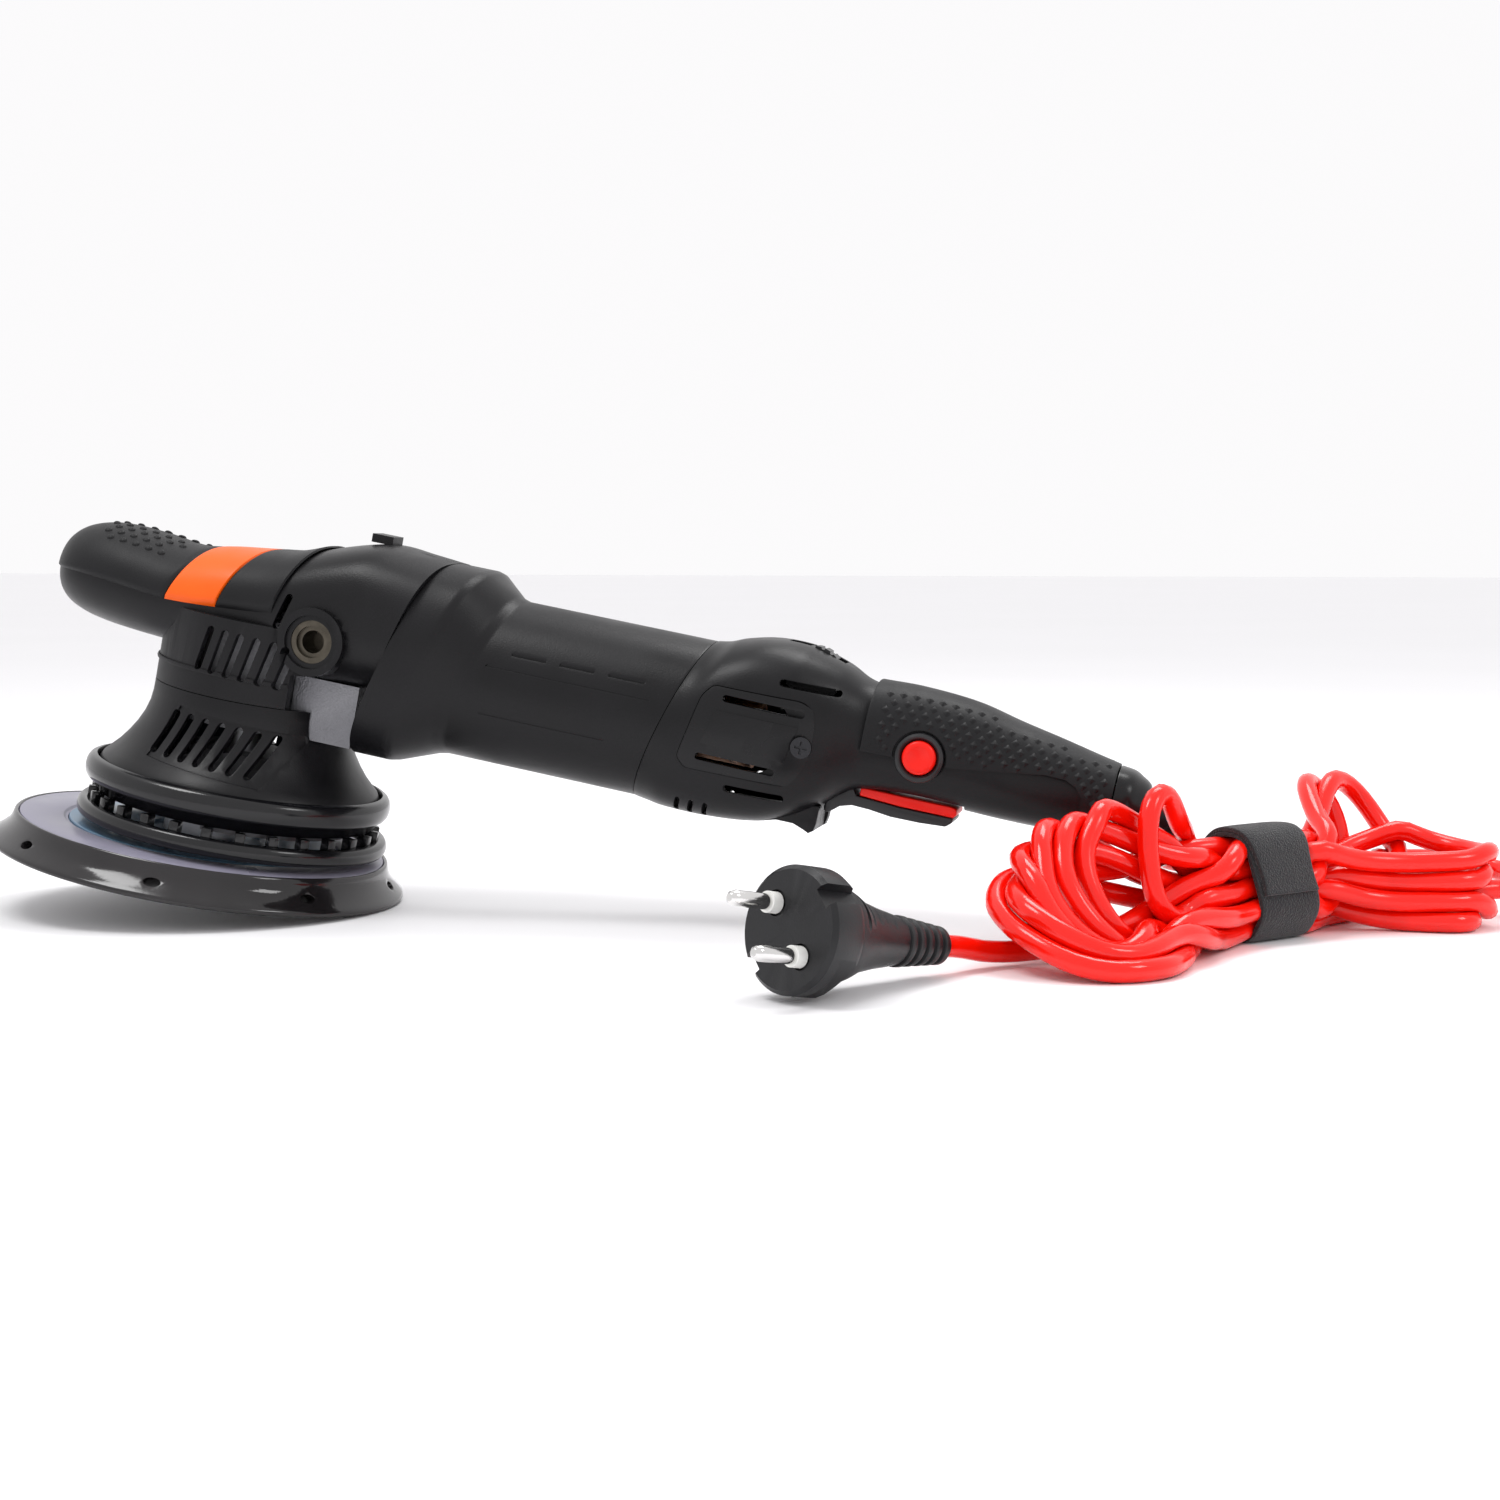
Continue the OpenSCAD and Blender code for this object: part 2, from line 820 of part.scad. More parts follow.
// Handle stations; their places are shares of the handle's length
function handle_stations(inset) = [for (s = [
        [0, 8.6, 20.8, 19.6, 2.4], [0.15, 9.4, 19.2, 19.2, 2.3], [0.35, 8.6, 18.4, 18.6, 2.3],
        [0.52, 6.6, 18.2, 17, 2.3], [0.67, 5.3, 17.6, 15.4, 2.3], [0.79, 5, 16.6, 13.2, 2.3],
        [0.88, 4.8, 15.6, 11.6, 2.3]])
    [housing_end_x + s[0] * handle_l, axis_h + s[1] - inset / 2, s[2] - inset, s[3] - inset / 2,
        s[4], 0]];

// Stations with one more in front, so that a hollow made from them breaks through the front
function opened(st) = concat([st[0] - [4, 0, 0, 0, 0, 0]], st);

function all_rear_stations() = concat(
    [for (s = rear_stations()) if (s[0] < housing_end_x - 1) s],
    handle_stations(skin_t + 0.1));

// Half of the hook that keeps fingers off the front of the trigger
module guard_hook() {
    rotate([90, 0, 0])
        mirror([0, 0, 1])
            linear_extrude(height = 13)
                polygon([[194, axis_h - 26], [206, axis_h - 26], [212, axis_h - 27.5],
                    [213.5, axis_h - 25], [214, axis_h - 18], [196, axis_h - 18]]);
}

// Half of the wall that holds the rear motor bearing
module rear_bearing_wall() {
    difference() {
        union() {
            intersection() {
                along_x(rear_bearing_x - 0.3, 15, 7.6);
                translate([rear_bearing_x - 1, 0, axis_h - 20])
                    cube([10, 20, 40]);
            }
            translate([rear_bearing_x - 0.3, 0, axis_h - 6])
                cube([7.6, 29.4, 12]);
        }
        along_x(rear_bearing_x - 2, 11, 12);
    }
}

module rear_half(left) {
    difference() {
        union() {
            difference() {
                union() {
                    half_loft(all_rear_stations());
                    guard_hook();
                }
                half_loft(opened(all_rear_stations()), -shell_wall);
            }
            rear_bearing_wall();
        }
        // trough for the trigger, deep enough for its travel
        translate([trigger_pivot_x - 5, -1, axis_h - 40])
            cube([trigger_end_x - trigger_pivot_x + 8, trigger_half_w + 1 + part_gap,
                39 + (trigger_end_x - trigger_pivot_x) * sin(trigger_angle)]);
        translate([trigger_pivot_x, -1, trigger_pivot_z])
            rotate([-90, 0, 0])
                cylinder(r = trigger_pin_r + run_gap, h = trigger_pin_l / 2 + 1.2);
        // hole for the screw of the brush cover
        translate([cover_screw_x, 15, cover_screw_z])
            rotate([-90, 0, 0])
                cylinder(r = cover_screw_r + run_gap, h = 20);
        // window for the dial
        translate([dial_x - dial_r - part_gap, -1, dial_z - dial_r - part_gap])
            cube([2 * (dial_r + part_gap), 4.5 + part_gap, 40]);
        // recess for the brush cover
        translate([0, 27.2, 0])
            cover_plate(5, 0.2);
        // exhaust slots
        slot(205.5, axis_h + 22.3, 21, 2.6, 0, 10, 60);
        slot(193, axis_h - 16.6, 20, 2.6, 0, 10, 60);
        for (k = [0:2])
            slot(166 + 5 * k, axis_h - 26.5, 6, 1.8, 70, 10, 60);
        if (!left)
            translate([button_x, 0, button_z])
                rotate([-90, 0, 0])
                    cylinder(r = 8.5 + eps, h = 40);
        // tail: room for the end cap and the cord
        translate([housing_end_x + handle_l * 0.88 - 5, -1, axis_h - 30])
            cube([60, 60, 60]);
    }
}

module rear_shell_left() {
    color([0.07, 0.065, 0.075])
        place()
            rear_half(true);
}

module rear_shell_right() {
    color([0.07, 0.065, 0.075])
        place()
            mirror([0, 1, 0])
                rear_half(false);
}

// Outline of the brush cover, seen from the side
module cover_plate(t, grow) {
    x0 = 167;
    z0 = axis_h;
    translate([0, t, 0])
        rotate([90, 0, 0])
            linear_extrude(height = t)
                polygon([[x0 + 7, z0 + 16 + grow], [x0 + 38, z0 + 16 + grow],
                    [x0 + 44, z0 + 13.5 + grow], [x0 + 45 + grow, z0 + 8],
                    [x0 + 41 + grow, z0 - 8], [x0 + 35 + grow, z0 - 12.5 - grow],
                    [x0 + 2, z0 - 12.5 - grow], [x0 - 1.5 - grow, z0 - 9.5],
                    [x0 + 4.5 - grow, z0 + 13]]);
}

module brush_cover(side) {
    plate_t = 4.2;
    color([0.07, 0.065, 0.075])
        place()
            mirror([0, side > 0 ? 0 : 1, 0])
                difference() {
                    union() {
                        translate([0, 27.5, 0])
                            cover_plate(plate_t, 0);
                        translate([177, 31, axis_h - 3])
                            cube([26, 1.3, 12]);
                    }
                    slot(191.5, axis_h + 13, 27, 2.4, 0, 20, 50);
                    slot(185, axis_h - 8.5, 27, 2.4, 0, 20, 50);
                    translate([cover_screw_x, 20, cover_screw_z])
                        rotate([-90, 0, 0])
                            cylinder(r = cover_screw_r + run_gap, h = 20);
                    translate([cover_screw_x, 30.1, cover_screw_z])
                        rotate([-90, 0, 0])
                            cylinder(r = 3.7, h = 10);
                }
}

module brush_cover_screws() {
    color([0.35, 0.35, 0.37])
        place()
            for (s = [0, 1])
                mirror([0, s, 0])
                    translate([cover_screw_x, 30.2, cover_screw_z])
                        rotate([-90, 0, 0])
                            screw(3.6, 1.6, cover_screw_r, 9);
}

module handle_screws() {
    color([0.35, 0.35, 0.37])
        place()
            for (p = [[219, axis_h + 17], [232, axis_h + 18], [269, axis_h + 14],
                    [294, axis_h + 6]])
                translate([p[0], -6, p[1]])
                    rotate([90, 0, 0])
                        screw(3, 2, 1.6, 14);
}

// Soft dotted sleeve over the handle, open below for the trigger
module grip_sleeve() {
    color([0.06, 0.06, 0.065])
        place()
            difference() {
                body_loft(handle_stations(0), 0, 36);
                body_loft(handle_stations(skin_t), face_gap / 10, 32);
                translate([housing_end_x - 30, -60, axis_h - 80])
                    cube([handle_l * 0.75 + 30, 120, 80 + 5]);
                translate([button_x, -60, button_z])
                    rotate([-90, 0, 0])
                        cylinder(r = 9.2, h = 60);
            }
}

module end_cap() {
    x0 = housing_end_x + handle_l * 0.88 + face_gap;
    zc = axis_h + 4.6;
    color([0.07, 0.065, 0.075])
        place()
            difference() {
                body_loft([[x0, zc, 15.4, 11.4, 2.3, 0], [x0 + 5, zc - 0.2, 14.6, 10.9, 2.2, 0],
                    [tail_x - 3, zc - 0.6, 12, 9.6, 2.1, 0], [tail_x, zc - 0.8, 8.4, 7.6, 2, 0]],
                    0, 32);
                translate([x0 - 1, 0, zc - 0.8])
                    rotate([0, 90, 0])
                        cylinder(r = 5.6, h = 40);
            }
}

// ---- Controls ----

module lock_button() {
    color([0.9, 0.07, 0.03])
        place()
            translate([button_x, -18.1 - button_travel, button_z])
                rotate([-90, 0, 0])
                    cylinder(r = button_r, h = 5.5 + button_travel);
}

module button_collar() {
    color([0.05, 0.05, 0.055])
        place()
            translate([button_x, -19.2, button_z])
                rotate([-90, 0, 0])
                    tube(8.5, button_r + 0.3, 8);
}

// Paddle trigger: hinged at the front, pressed upward
module trigger() {
    color([0.05, 0.05, 0.055])
        place()
            difference() {
                translate([0, trigger_half_w, 0])
                    rotate([90, 0, 0])
                        linear_extrude(height = 2 * trigger_half_w)
                            polygon([[214.5, axis_h - 19], [220, axis_h - 16.6], [227, axis_h - 16.1],
                                [238, axis_h - 16.9], [257, axis_h - 16.2], [259, axis_h - 14.5],
                                [259.2, axis_h - 13], [240, axis_h - 13], [225, axis_h - 12.2],
                                [222.5, axis_h - 8], [215.5, axis_h - 8]]);
                translate([trigger_pivot_x, -30, trigger_pivot_z])
                    rotate([-90, 0, 0])
                        cylinder(r = trigger_pin_r + run_gap, h = 60);
            }
}

module trigger_insert() {
    color([0.9, 0.07, 0.03])
        place()
            translate([0, trigger_half_w - 0.5, 0])
                rotate([90, 0, 0])
                    linear_extrude(height = 2 * trigger_half_w - 1)
                        polygon([[226, axis_h - 12], [240, axis_h - 12.8], [259.2, axis_h - 12.8],
                            [259, axis_h - 9.5], [240, axis_h - 9.2], [226, axis_h - 9]]);
}

module trigger_pin() {
    color([0.6, 0.61, 0.63])
        place()
            translate([trigger_pivot_x, -trigger_pin_l / 2, trigger_pivot_z])
                rotate([-90, 0, 0])
                    cylinder(r = trigger_pin_r, h = trigger_pin_l);
}

module switch_block() {
    color([0.1, 0.1, 0.11])
        place()
            translate([226, -8, axis_h + 0.5])
                cube([38, 16, 14]);
}

module speed_dial() {
    notch_count = 18;
    color([0.1, 0.1, 0.11])
        place()
            translate([dial_x, -3.5, dial_z])
                rotate([-90, 0, 0])
                    difference() {
                        cylinder(r = dial_r, h = 7);
                        for (k = [0:notch_count - 1])
                            rotate([0, 0, 360 * k / notch_count])
                                translate([dial_r, 0, -1])
                                    cylinder(r = 0.7, h = 9, $fn = 16);
                        translate([0, 0, -1])
                            cylinder(r = 1.6, h = 9);
                    }
}

module speed_module() {
    color([0.1, 0.3, 0.15])
        place()
            translate([dial_x - 1.4, -10, axis_h + 11.4])
                cube([20, 20, 2.5]);
}

// ---- Cord, plug and tie: drawn straight in the resting frame ----

// Point of the upright tool in the resting frame, before the origin is moved
function laid(p) = [p[0] * cos(rest_pitch) + p[2] * sin(rest_pitch), p[1],
    -p[0] * sin(rest_pitch) + p[2] * cos(rest_pitch) + lift];

tail_point = laid([boot_start[0], 0, boot_start[1]]);

// Route of the boot and the cord behind the hank, relative to the tail
boot_route = [[0, 0, 0], [5, 0, -1.2], [9, 1.6, -4.4], [11, 5.6, -9], [11, 10.8, -13.6],
    [9.5, 17, -18]];
lead_route = [[9.5, 17, -18], [7.8, 26, -20.2], [9.4, 35.4, -21.8], [14.6, 43.6, -22.8],
    [22.6, 49.4, -22.8], [32, 51.4, -21.6], [41.4, 49.2, -19.2], [49, 43, -16.6], [54, 36, -15]];
run_route = [[277, -98, 9.5], [280.6, -92.6, 8.6], [284.4, -87.4, 7.4], [290, -80.6, 5.6]];

function unit(v) = v / norm(v);
function tangent(p, i) = unit(p[min(i + 1, len(p) - 1)] - p[max(i - 1, 0)]);
function side_of(t) = unit(cross([0, 0, 1], t));

// Round tube along a list of points, its radius given at each point
module swept(points, radii, n = 12) {
    skin([for (i = [0:len(points) - 1]) let(
            t = tangent(points, i), u = side_of(t), w = cross(t, u))
        [for (k = [0:n - 1]) points[i] + radii[i] * (u * cos(360 * k / n) + w * sin(360 * k / n))]]);
}

module on_floor() {
    translate([-origin_x, 0, 0])
        children();
}

module strain_relief() {
    color([0.05, 0.05, 0.055])
        on_floor()
            swept([for (p = boot_route) p + tail_point],
                [for (i = [0:len(boot_route) - 1]) 5.5 - i * 0.2]);
}

module cord_lead() {
    color([0.95, 0.08, 0.04])
        on_floor()
            swept([for (p = lead_route) p + tail_point], [for (p = lead_route) cord_r]);
}

// Outline of the tied hank seen from above: a wide lobe on each side of the tie, and its waist
module hank_outline(l, w) {
    square([l * 0.62, w], center = true);
    translate([hank_w * 1.05 - l * 0.58, -10])
        circle(r = hank_w * 1.05, $fn = 48);
    translate([l * 0.48 - hank_w * 0.8, -6])
        circle(r = hank_w * 0.8, $fn = 48);
}

module cord_hank() {
    color([0.95, 0.08, 0.04])
        on_floor()
            translate([hank_centre[0], hank_centre[1], tie_floor])
                rotate([0, 0, hank_angle])
                    linear_extrude(height = hank_h)
                        hank_outline(hank_l, hank_w);
}

module cord_run() {
    color([0.95, 0.08, 0.04])
        on_floor()
            swept(run_route, [for (p = run_route) cord_r]);
}

module cord_tie() {
    color([0.03, 0.03, 0.035])
        on_floor()
            translate([hank_centre[0], hank_centre[1], 0])
                rotate([0, 0, hank_angle])
                    translate([-tie_w / 2, 0, 0])
                        difference() {
                            translate([0, -hank_w / 2 - tie_t, 0])
                                cube([tie_w, hank_w + 2 * tie_t, hank_h + tie_t + tie_floor]);
                            translate([-1, -hank_w / 2, tie_floor])
                                cube([tie_w + 2, hank_w, hank_h]);
                        }
}

// The plug's own frame: +Z out along the pins, origin where the cord enters
module plug_frame() {
    on_floor()
        translate([plug_rear[0], plug_rear[1], 9.5])
            rotate([0, 0, plug_angle + 180])
                rotate([0, 90 - plug_lean, 0])
                    rotate([0, 0, plug_roll])
                        children();
}

module plug_boot() {
    color([0.05, 0.05, 0.055])
        plug_frame()
            rotate_extrude($fn = 48)
                polygon([[cord_r + 0.02, -0.5], [5, -0.5], [5.2, 3], [4.6, 3.4], [4.8, 5], [5.8, 5.4],
                    [6, 8.4], [5.2, 8.8], [5.2, 10.4], [6.3, 10.8], [6.5, 13.8], [5.6, 14.2],
                    [5.8, 16], [6.8, 16.4], [7, boot_l], [cord_r + 0.02, boot_l]]);
}

module plug_body() {
    color([0.05, 0.05, 0.055])
        plug_frame()
            difference() {
                union() {
                    translate([0, 0, boot_l])
                        cylinder(r1 = 8, r2 = 12, h = 22);
                    translate([0, 0, boot_l + 21.9])
                        cylinder(r = 14, h = plug_l - plug_face_t - boot_l - 21.8);
                    translate([0, 0, plug_l - plug_face_t])
                        cylinder(r = plug_r, h = plug_face_t);
                }
                // earth-clip notches and side flats of the contoured face
                for (s = [-1, 1]) {
                    translate([-3.5, s * plug_r - 3, plug_l - plug_face_t - 1])
                        cube([7, 6, plug_face_t + 2]);
                    translate([s * (plug_r + 3) - 5, -30, plug_l - plug_face_t - 1])
                        cube([10, 60, plug_face_t - 4]);
                }
                for (s = [-1, 1])
                    translate([s * pin_spread, 0, plug_l - 8])
                        cylinder(r = 2.4, h = 10);
            }
}

module plug_pins() {
    color([0.8, 0.8, 0.82])
        plug_frame()
            for (s = [-1, 1])
                translate([s * pin_spread, 0, plug_l - 7.9]) {
                    cylinder(r = 2, h = 12);
                    translate([0, 0, 11.9])
                        cylinder(r = 2.4, h = 13);
                    translate([0, 0, 24.9])
                        cylinder(r1 = 2.4, r2 = 1.4, h = 1.9);
                }
}

module plug_sleeves() {
    color([0.92, 0.92, 0.9])
        plug_frame()
            for (s = [-1, 1])
                translate([s * pin_spread, 0, plug_l + 0.05])
                    tube(3.2, 2.05, 3.8);
}

head_shell_left();
head_shell_right();
palm_grip_front();
palm_band();
palm_grip_rear();
gear_case();
seam_clip();
shroud();
collar_ring();
guard_ring();
handle_insert(1);  // handle_insert_left
handle_insert(-1);  // handle_insert_right
spindle();
spindle_bearing_upper();
spindle_bearing_lower();
bevel_gear();
bevel_pinion();
counterweight();
pad_bearings();
pad_spindle();
backing_plate();
pad_skirt();
hook_face();
pad_screw();
motor_housing();
stator();
armature_shaft();
armature_core();
commutator();
cooling_fan();
motor_bearing_front();
motor_bearing_rear();
brush_holders();
carbon_brushes();
rear_shell_left();
rear_shell_right();
brush_cover(1);  // brush_cover_left
brush_cover(-1);  // brush_cover_right
brush_cover_screws();
handle_screws();
grip_sleeve();
end_cap();
lock_button();
button_collar();
trigger();
trigger_insert();
trigger_pin();
switch_block();
speed_dial();
speed_module();
strain_relief();
cord_lead();
cord_hank();
cord_run();
cord_tie();
plug_body();
plug_pins();
plug_sleeves();
plug_boot();
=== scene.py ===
"""Looks of a long-neck random-orbital sander and polisher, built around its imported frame.

Every sub-assembly is a class. Its sizes are dataclass fields in millimetres, in the tool's own upright
frame: +X towards the handle, +Z up the spindle, pad face at z = 0 and the spindle on x = y = 0.
``ToolFrame`` lays each finished piece down in the row frame, in metres.
"""

from __future__ import annotations

import json
import logging
import math
from dataclasses import dataclass
from enum import Enum
from typing import Callable, Sequence

import bpy
import numpy as np
from mathutils import Matrix, Vector


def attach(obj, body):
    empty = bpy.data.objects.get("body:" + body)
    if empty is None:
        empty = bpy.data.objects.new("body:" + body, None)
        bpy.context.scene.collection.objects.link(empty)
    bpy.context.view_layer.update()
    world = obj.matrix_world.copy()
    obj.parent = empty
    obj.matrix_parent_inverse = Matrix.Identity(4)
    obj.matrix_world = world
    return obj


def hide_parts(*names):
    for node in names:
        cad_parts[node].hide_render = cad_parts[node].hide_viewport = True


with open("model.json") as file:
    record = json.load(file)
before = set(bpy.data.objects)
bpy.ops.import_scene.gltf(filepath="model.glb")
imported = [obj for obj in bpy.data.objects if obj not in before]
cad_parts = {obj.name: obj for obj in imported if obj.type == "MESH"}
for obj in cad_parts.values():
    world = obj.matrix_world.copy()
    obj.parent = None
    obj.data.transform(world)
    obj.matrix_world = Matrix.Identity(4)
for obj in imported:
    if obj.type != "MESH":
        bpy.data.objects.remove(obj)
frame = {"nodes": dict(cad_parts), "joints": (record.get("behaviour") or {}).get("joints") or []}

LOG = logging.getLogger("sander")
Point = tuple[float, float, float]
Flat = tuple[float, float]

MM = 0.001
AXIS_Z = 90.0  # motor axis above the pad face, mm
CRANK_HEIGHT = 50.0  # crank joint above the pad face, mm
SLOPE = 0.3057  # lean of the casing's cross seams: X gained for each mm of height
ORIGIN_X = 129.9954  # where the row frame's origin lies on the tool's X as drawn, mm
BUTTON: Flat = (245.0, 96.2)  # middle of the lock button, (x, z) in mm


class Side(Enum):
    """The two halves of the casings."""

    LEFT = 1
    RIGHT = -1


class Body(str, Enum):
    """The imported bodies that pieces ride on."""

    HOUSING = "housing"
    PAD = "pad"
    TRIGGER = "trigger_lever"
    BUTTON = "button"
    DIAL = "dial"


# ---------------------------------------------------------------------------------------------
# Frames
# ---------------------------------------------------------------------------------------------


@dataclass(frozen=True)
class ToolFrame:
    """The upright tool frame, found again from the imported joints."""

    lay: Matrix

    @classmethod
    def from_joints(cls, joints: Sequence[dict]) -> "ToolFrame":
        """Works out where the tool lies.

        Args:
            joints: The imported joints; the crank turns on the spindle, the armature on the motor axis.

        Returns:
            The frame that carries tool millimetres to row metres.
        """
        named = {j["name"]: j for j in joints}
        up = Vector(named["crank_spin"]["axis"]).normalized()
        ahead = Vector(named["armature_spin"]["axis"]).normalized()
        foot = Vector(named["crank_spin"]["pos_m"]) - up * CRANK_HEIGHT * MM
        turn = Matrix((ahead, up.cross(ahead), up)).transposed().to_4x4()
        return cls(Matrix.Translation(foot) @ turn @ Matrix.Scale(MM, 4))

    def place(self, point: Point) -> Vector:
        """Carries one tool point, in millimetres, to the row frame."""
        return self.lay @ Vector(point)


TOOL = ToolFrame.from_joints(frame["joints"])
FLOOR = Matrix.Scale(MM, 4)  # for pieces drawn in row millimetres


# ---------------------------------------------------------------------------------------------
# Sections and lofts
# ---------------------------------------------------------------------------------------------


@dataclass(frozen=True)
class Station:
    """One cross-section of a casing: a rounded box seen along the motor axis."""

    x: float
    z: float
    half_w: float
    half_h: float
    square: float = 2.0
    lean: float = 0.0

    def numbers(self) -> np.ndarray:
        """The fields as an array, so that stations can be mixed."""
        return np.array([self.x, self.z, self.half_w, self.half_h, self.square, self.lean])


@dataclass(frozen=True)
class Hull:
    """A casing surface carried smoothly over its stations."""

    stations: tuple[Station, ...]
    crisp: bool = False

    def at(self, x: float) -> np.ndarray:
        """Mixes the station at any place.

        Args:
            x: Place along the motor axis, before the lean of the section.

        Returns:
            Station numbers there.
        """
        rows = np.array([s.numbers() for s in self.stations])
        i = int(np.clip(np.searchsorted(rows[:, 0], x) - 1, 0, len(rows) - 2))
        a, b = rows[i], rows[i + 1]
        t = float(np.clip((x - a[0]) / (b[0] - a[0]), -0.2, 1.2))
        if self.crisp:
            return a + (b - a) * t
        before, after = rows[max(i - 1, 0)], rows[min(i + 2, len(rows) - 1)]
        step = b[0] - a[0]
        slope_a = (b - before) / max(b[0] - before[0], 1e-6) * step
        slope_b = (after - a) / max(after[0] - a[0], 1e-6) * step
        h = np.array([2 * t**3 - 3 * t**2 + 1, t**3 - 2 * t**2 + t, -2 * t**3 + 3 * t**2, t**3 - t**2])
        return h[0] * a + h[1] * slope_a + h[2] * b + h[3] * slope_b

    def point(self, x: float, angle: float, grow: float = 0.0) -> Point:
        """A point of the skin.

        Args:
            x: Place along the axis.
            angle: Direction round the section in degrees, 0 at +Y and 90 on top.
            grow: How far outside the surface.

        Returns:
            The point in tool millimetres.
        """
        _, z, half_w, half_h, square, lean = self.at(x)
        c, s = math.cos(math.radians(angle)), math.sin(math.radians(angle))
        y = (half_w + grow) * math.copysign(abs(c) ** (2 / square), c)
        up = (half_h + grow) * math.copysign(abs(s) ** (2 / square), s)
        return (x + lean * (z + up - AXIS_Z), y, z + up)


# ---------------------------------------------------------------------------------------------
# Workbench: one piece being shaped
# ---------------------------------------------------------------------------------------------


def clear_selection() -> None:
    """Leaves nothing selected, so that an operator acts only on what is picked next."""
    if bpy.context.object and bpy.context.object.mode != "OBJECT":
        bpy.ops.object.mode_set(mode="OBJECT")
    bpy.ops.object.select_all(action="DESELECT")


@dataclass
class Workpiece:
    """A mesh on the bench. Its methods shape it with Blender's own tools."""

    obj: bpy.types.Object

    # --- starting shapes ---

    @classmethod
    def _added(cls, name: str) -> "Workpiece":
        """Takes the primitive that was just added."""
        obj = bpy.context.object
        obj.name = name
        obj.data.name = name
        return cls(obj)

    @classmethod
    def block(cls, name: str, low: Point, high: Point) -> "Workpiece":
        """A box between two corners."""
        clear_selection()
        middle = [(a + b) / 2 for a, b in zip(low, high)]
        bpy.ops.mesh.primitive_cube_add(size=1, location=middle)
        piece = cls._added(name)
        piece.obj.scale = [b - a for a, b in zip(low, high)]
        bpy.ops.object.transform_apply(location=True, rotation=True, scale=True)
        return piece

    @classmethod
    def rod(cls, name: str, start: Point, end: Point, radius: float, sides: int = 48) -> "Workpiece":
        """A round bar from one point to another."""
        clear_selection()
        a, b = Vector(start), Vector(end)
        bpy.ops.mesh.primitive_cylinder_add(vertices=sides, radius=radius, depth=(b - a).length)
        piece = cls._added(name)
        turn = (b - a).to_track_quat("Z", "Y").to_matrix().to_4x4()
        piece.obj.matrix_world = Matrix.Translation((a + b) / 2) @ turn
        bpy.ops.object.transform_apply(location=True, rotation=True, scale=True)
        return piece

    @classmethod
    def outline(cls, name: str, points: Sequence[Point], push: Point) -> "Workpiece":
        """A flat outline extruded into a plate.

        Args:
            name: Name of the piece.
            points: The outline, in order.
            push: How the face is extruded.

        Returns:
            The closed plate.
        """
        clear_selection()
        bpy.ops.mesh.primitive_circle_add(vertices=len(points), radius=1, fill_type="NGON")
        piece = cls._added(name)
        for vertex, p in zip(piece.obj.data.vertices, points):
            vertex.co = p
        bpy.ops.object.mode_set(mode="EDIT")
        bpy.ops.mesh.select_all(action="SELECT")
        bpy.ops.mesh.extrude_region_move(TRANSFORM_OT_translate={"value": push})
        bpy.ops.mesh.select_all(action="SELECT")
        bpy.ops.mesh.normals_make_consistent(inside=False)
        bpy.ops.object.mode_set(mode="OBJECT")
        return piece

    @classmethod
    def turned(cls, name: str, profile: Sequence[Flat], centre: Point = (0, 0, 0),
               axis: Point = (0, 0, 1), steps: int = 96) -> "Workpiece":
        """A closed profile spun about an axis.

        Args:
            name: Name of the piece.
            profile: Closed outline as (radius, height) pairs.
            centre: Where the axis starts.
            axis: Direction of the axis.
            steps: Steps of the spin.

        Returns:
            The turned piece.
        """
        clear_selection()
        bpy.ops.mesh.primitive_circle_add(vertices=len(profile), radius=1, fill_type="NOTHING")
        piece = cls._added(name)
        for vertex, (r, h) in zip(piece.obj.data.vertices, profile):
            vertex.co = (r, 0, h)
        bpy.ops.object.mode_set(mode="EDIT")
        bpy.ops.mesh.select_all(action="SELECT")
        bpy.ops.mesh.spin(steps=steps, angle=2 * math.pi, center=(0, 0, 0), axis=(0, 0, 1))
        bpy.ops.mesh.select_all(action="SELECT")
        bpy.ops.mesh.remove_doubles(threshold=0.004)
        bpy.ops.mesh.normals_make_consistent(inside=False)
        bpy.ops.object.mode_set(mode="OBJECT")
        turn = Vector(axis).to_track_quat("Z", "Y").to_matrix().to_4x4()
        piece.obj.data.transform(Matrix.Translation(centre) @ turn)
        return piece

    @classmethod
    def wrapped(cls, name: str, across: int, along: int, surface: Callable[[float, float], Point],
                closed: bool = True) -> "Workpiece":
        """A grid wrapped over a surface.

        Args:
            name: Name of the piece.
            across: Faces round the section.
            along: Faces along the length.
            surface: Gives the point at (share along, share round), both from 0 to 1.
            closed: Whether the two ends are capped.

        Returns:
            The wrapped piece, with its grid as its UV map.
        """
        clear_selection()
        bpy.ops.mesh.primitive_grid_add(x_subdivisions=along, y_subdivisions=across, size=1)
        piece = cls._added(name)
        for vertex in piece.obj.data.vertices:
            vertex.co = surface(vertex.co.x + 0.5, vertex.co.y + 0.5)
        bpy.ops.object.mode_set(mode="EDIT")
        bpy.ops.mesh.select_all(action="SELECT")
        bpy.ops.mesh.remove_doubles(threshold=0.002)
        if closed:
            bpy.ops.mesh.fill_holes(sides=0)
        bpy.ops.mesh.select_all(action="SELECT")
        bpy.ops.mesh.normals_make_consistent(inside=False)
        bpy.ops.object.mode_set(mode="OBJECT")
        return piece

    # --- shaping ---

    def active(self) -> bpy.types.Object:
        """Makes this the one picked object."""
        clear_selection()
        self.obj.select_set(True)
        bpy.context.view_layer.objects.active = self.obj
        return self.obj

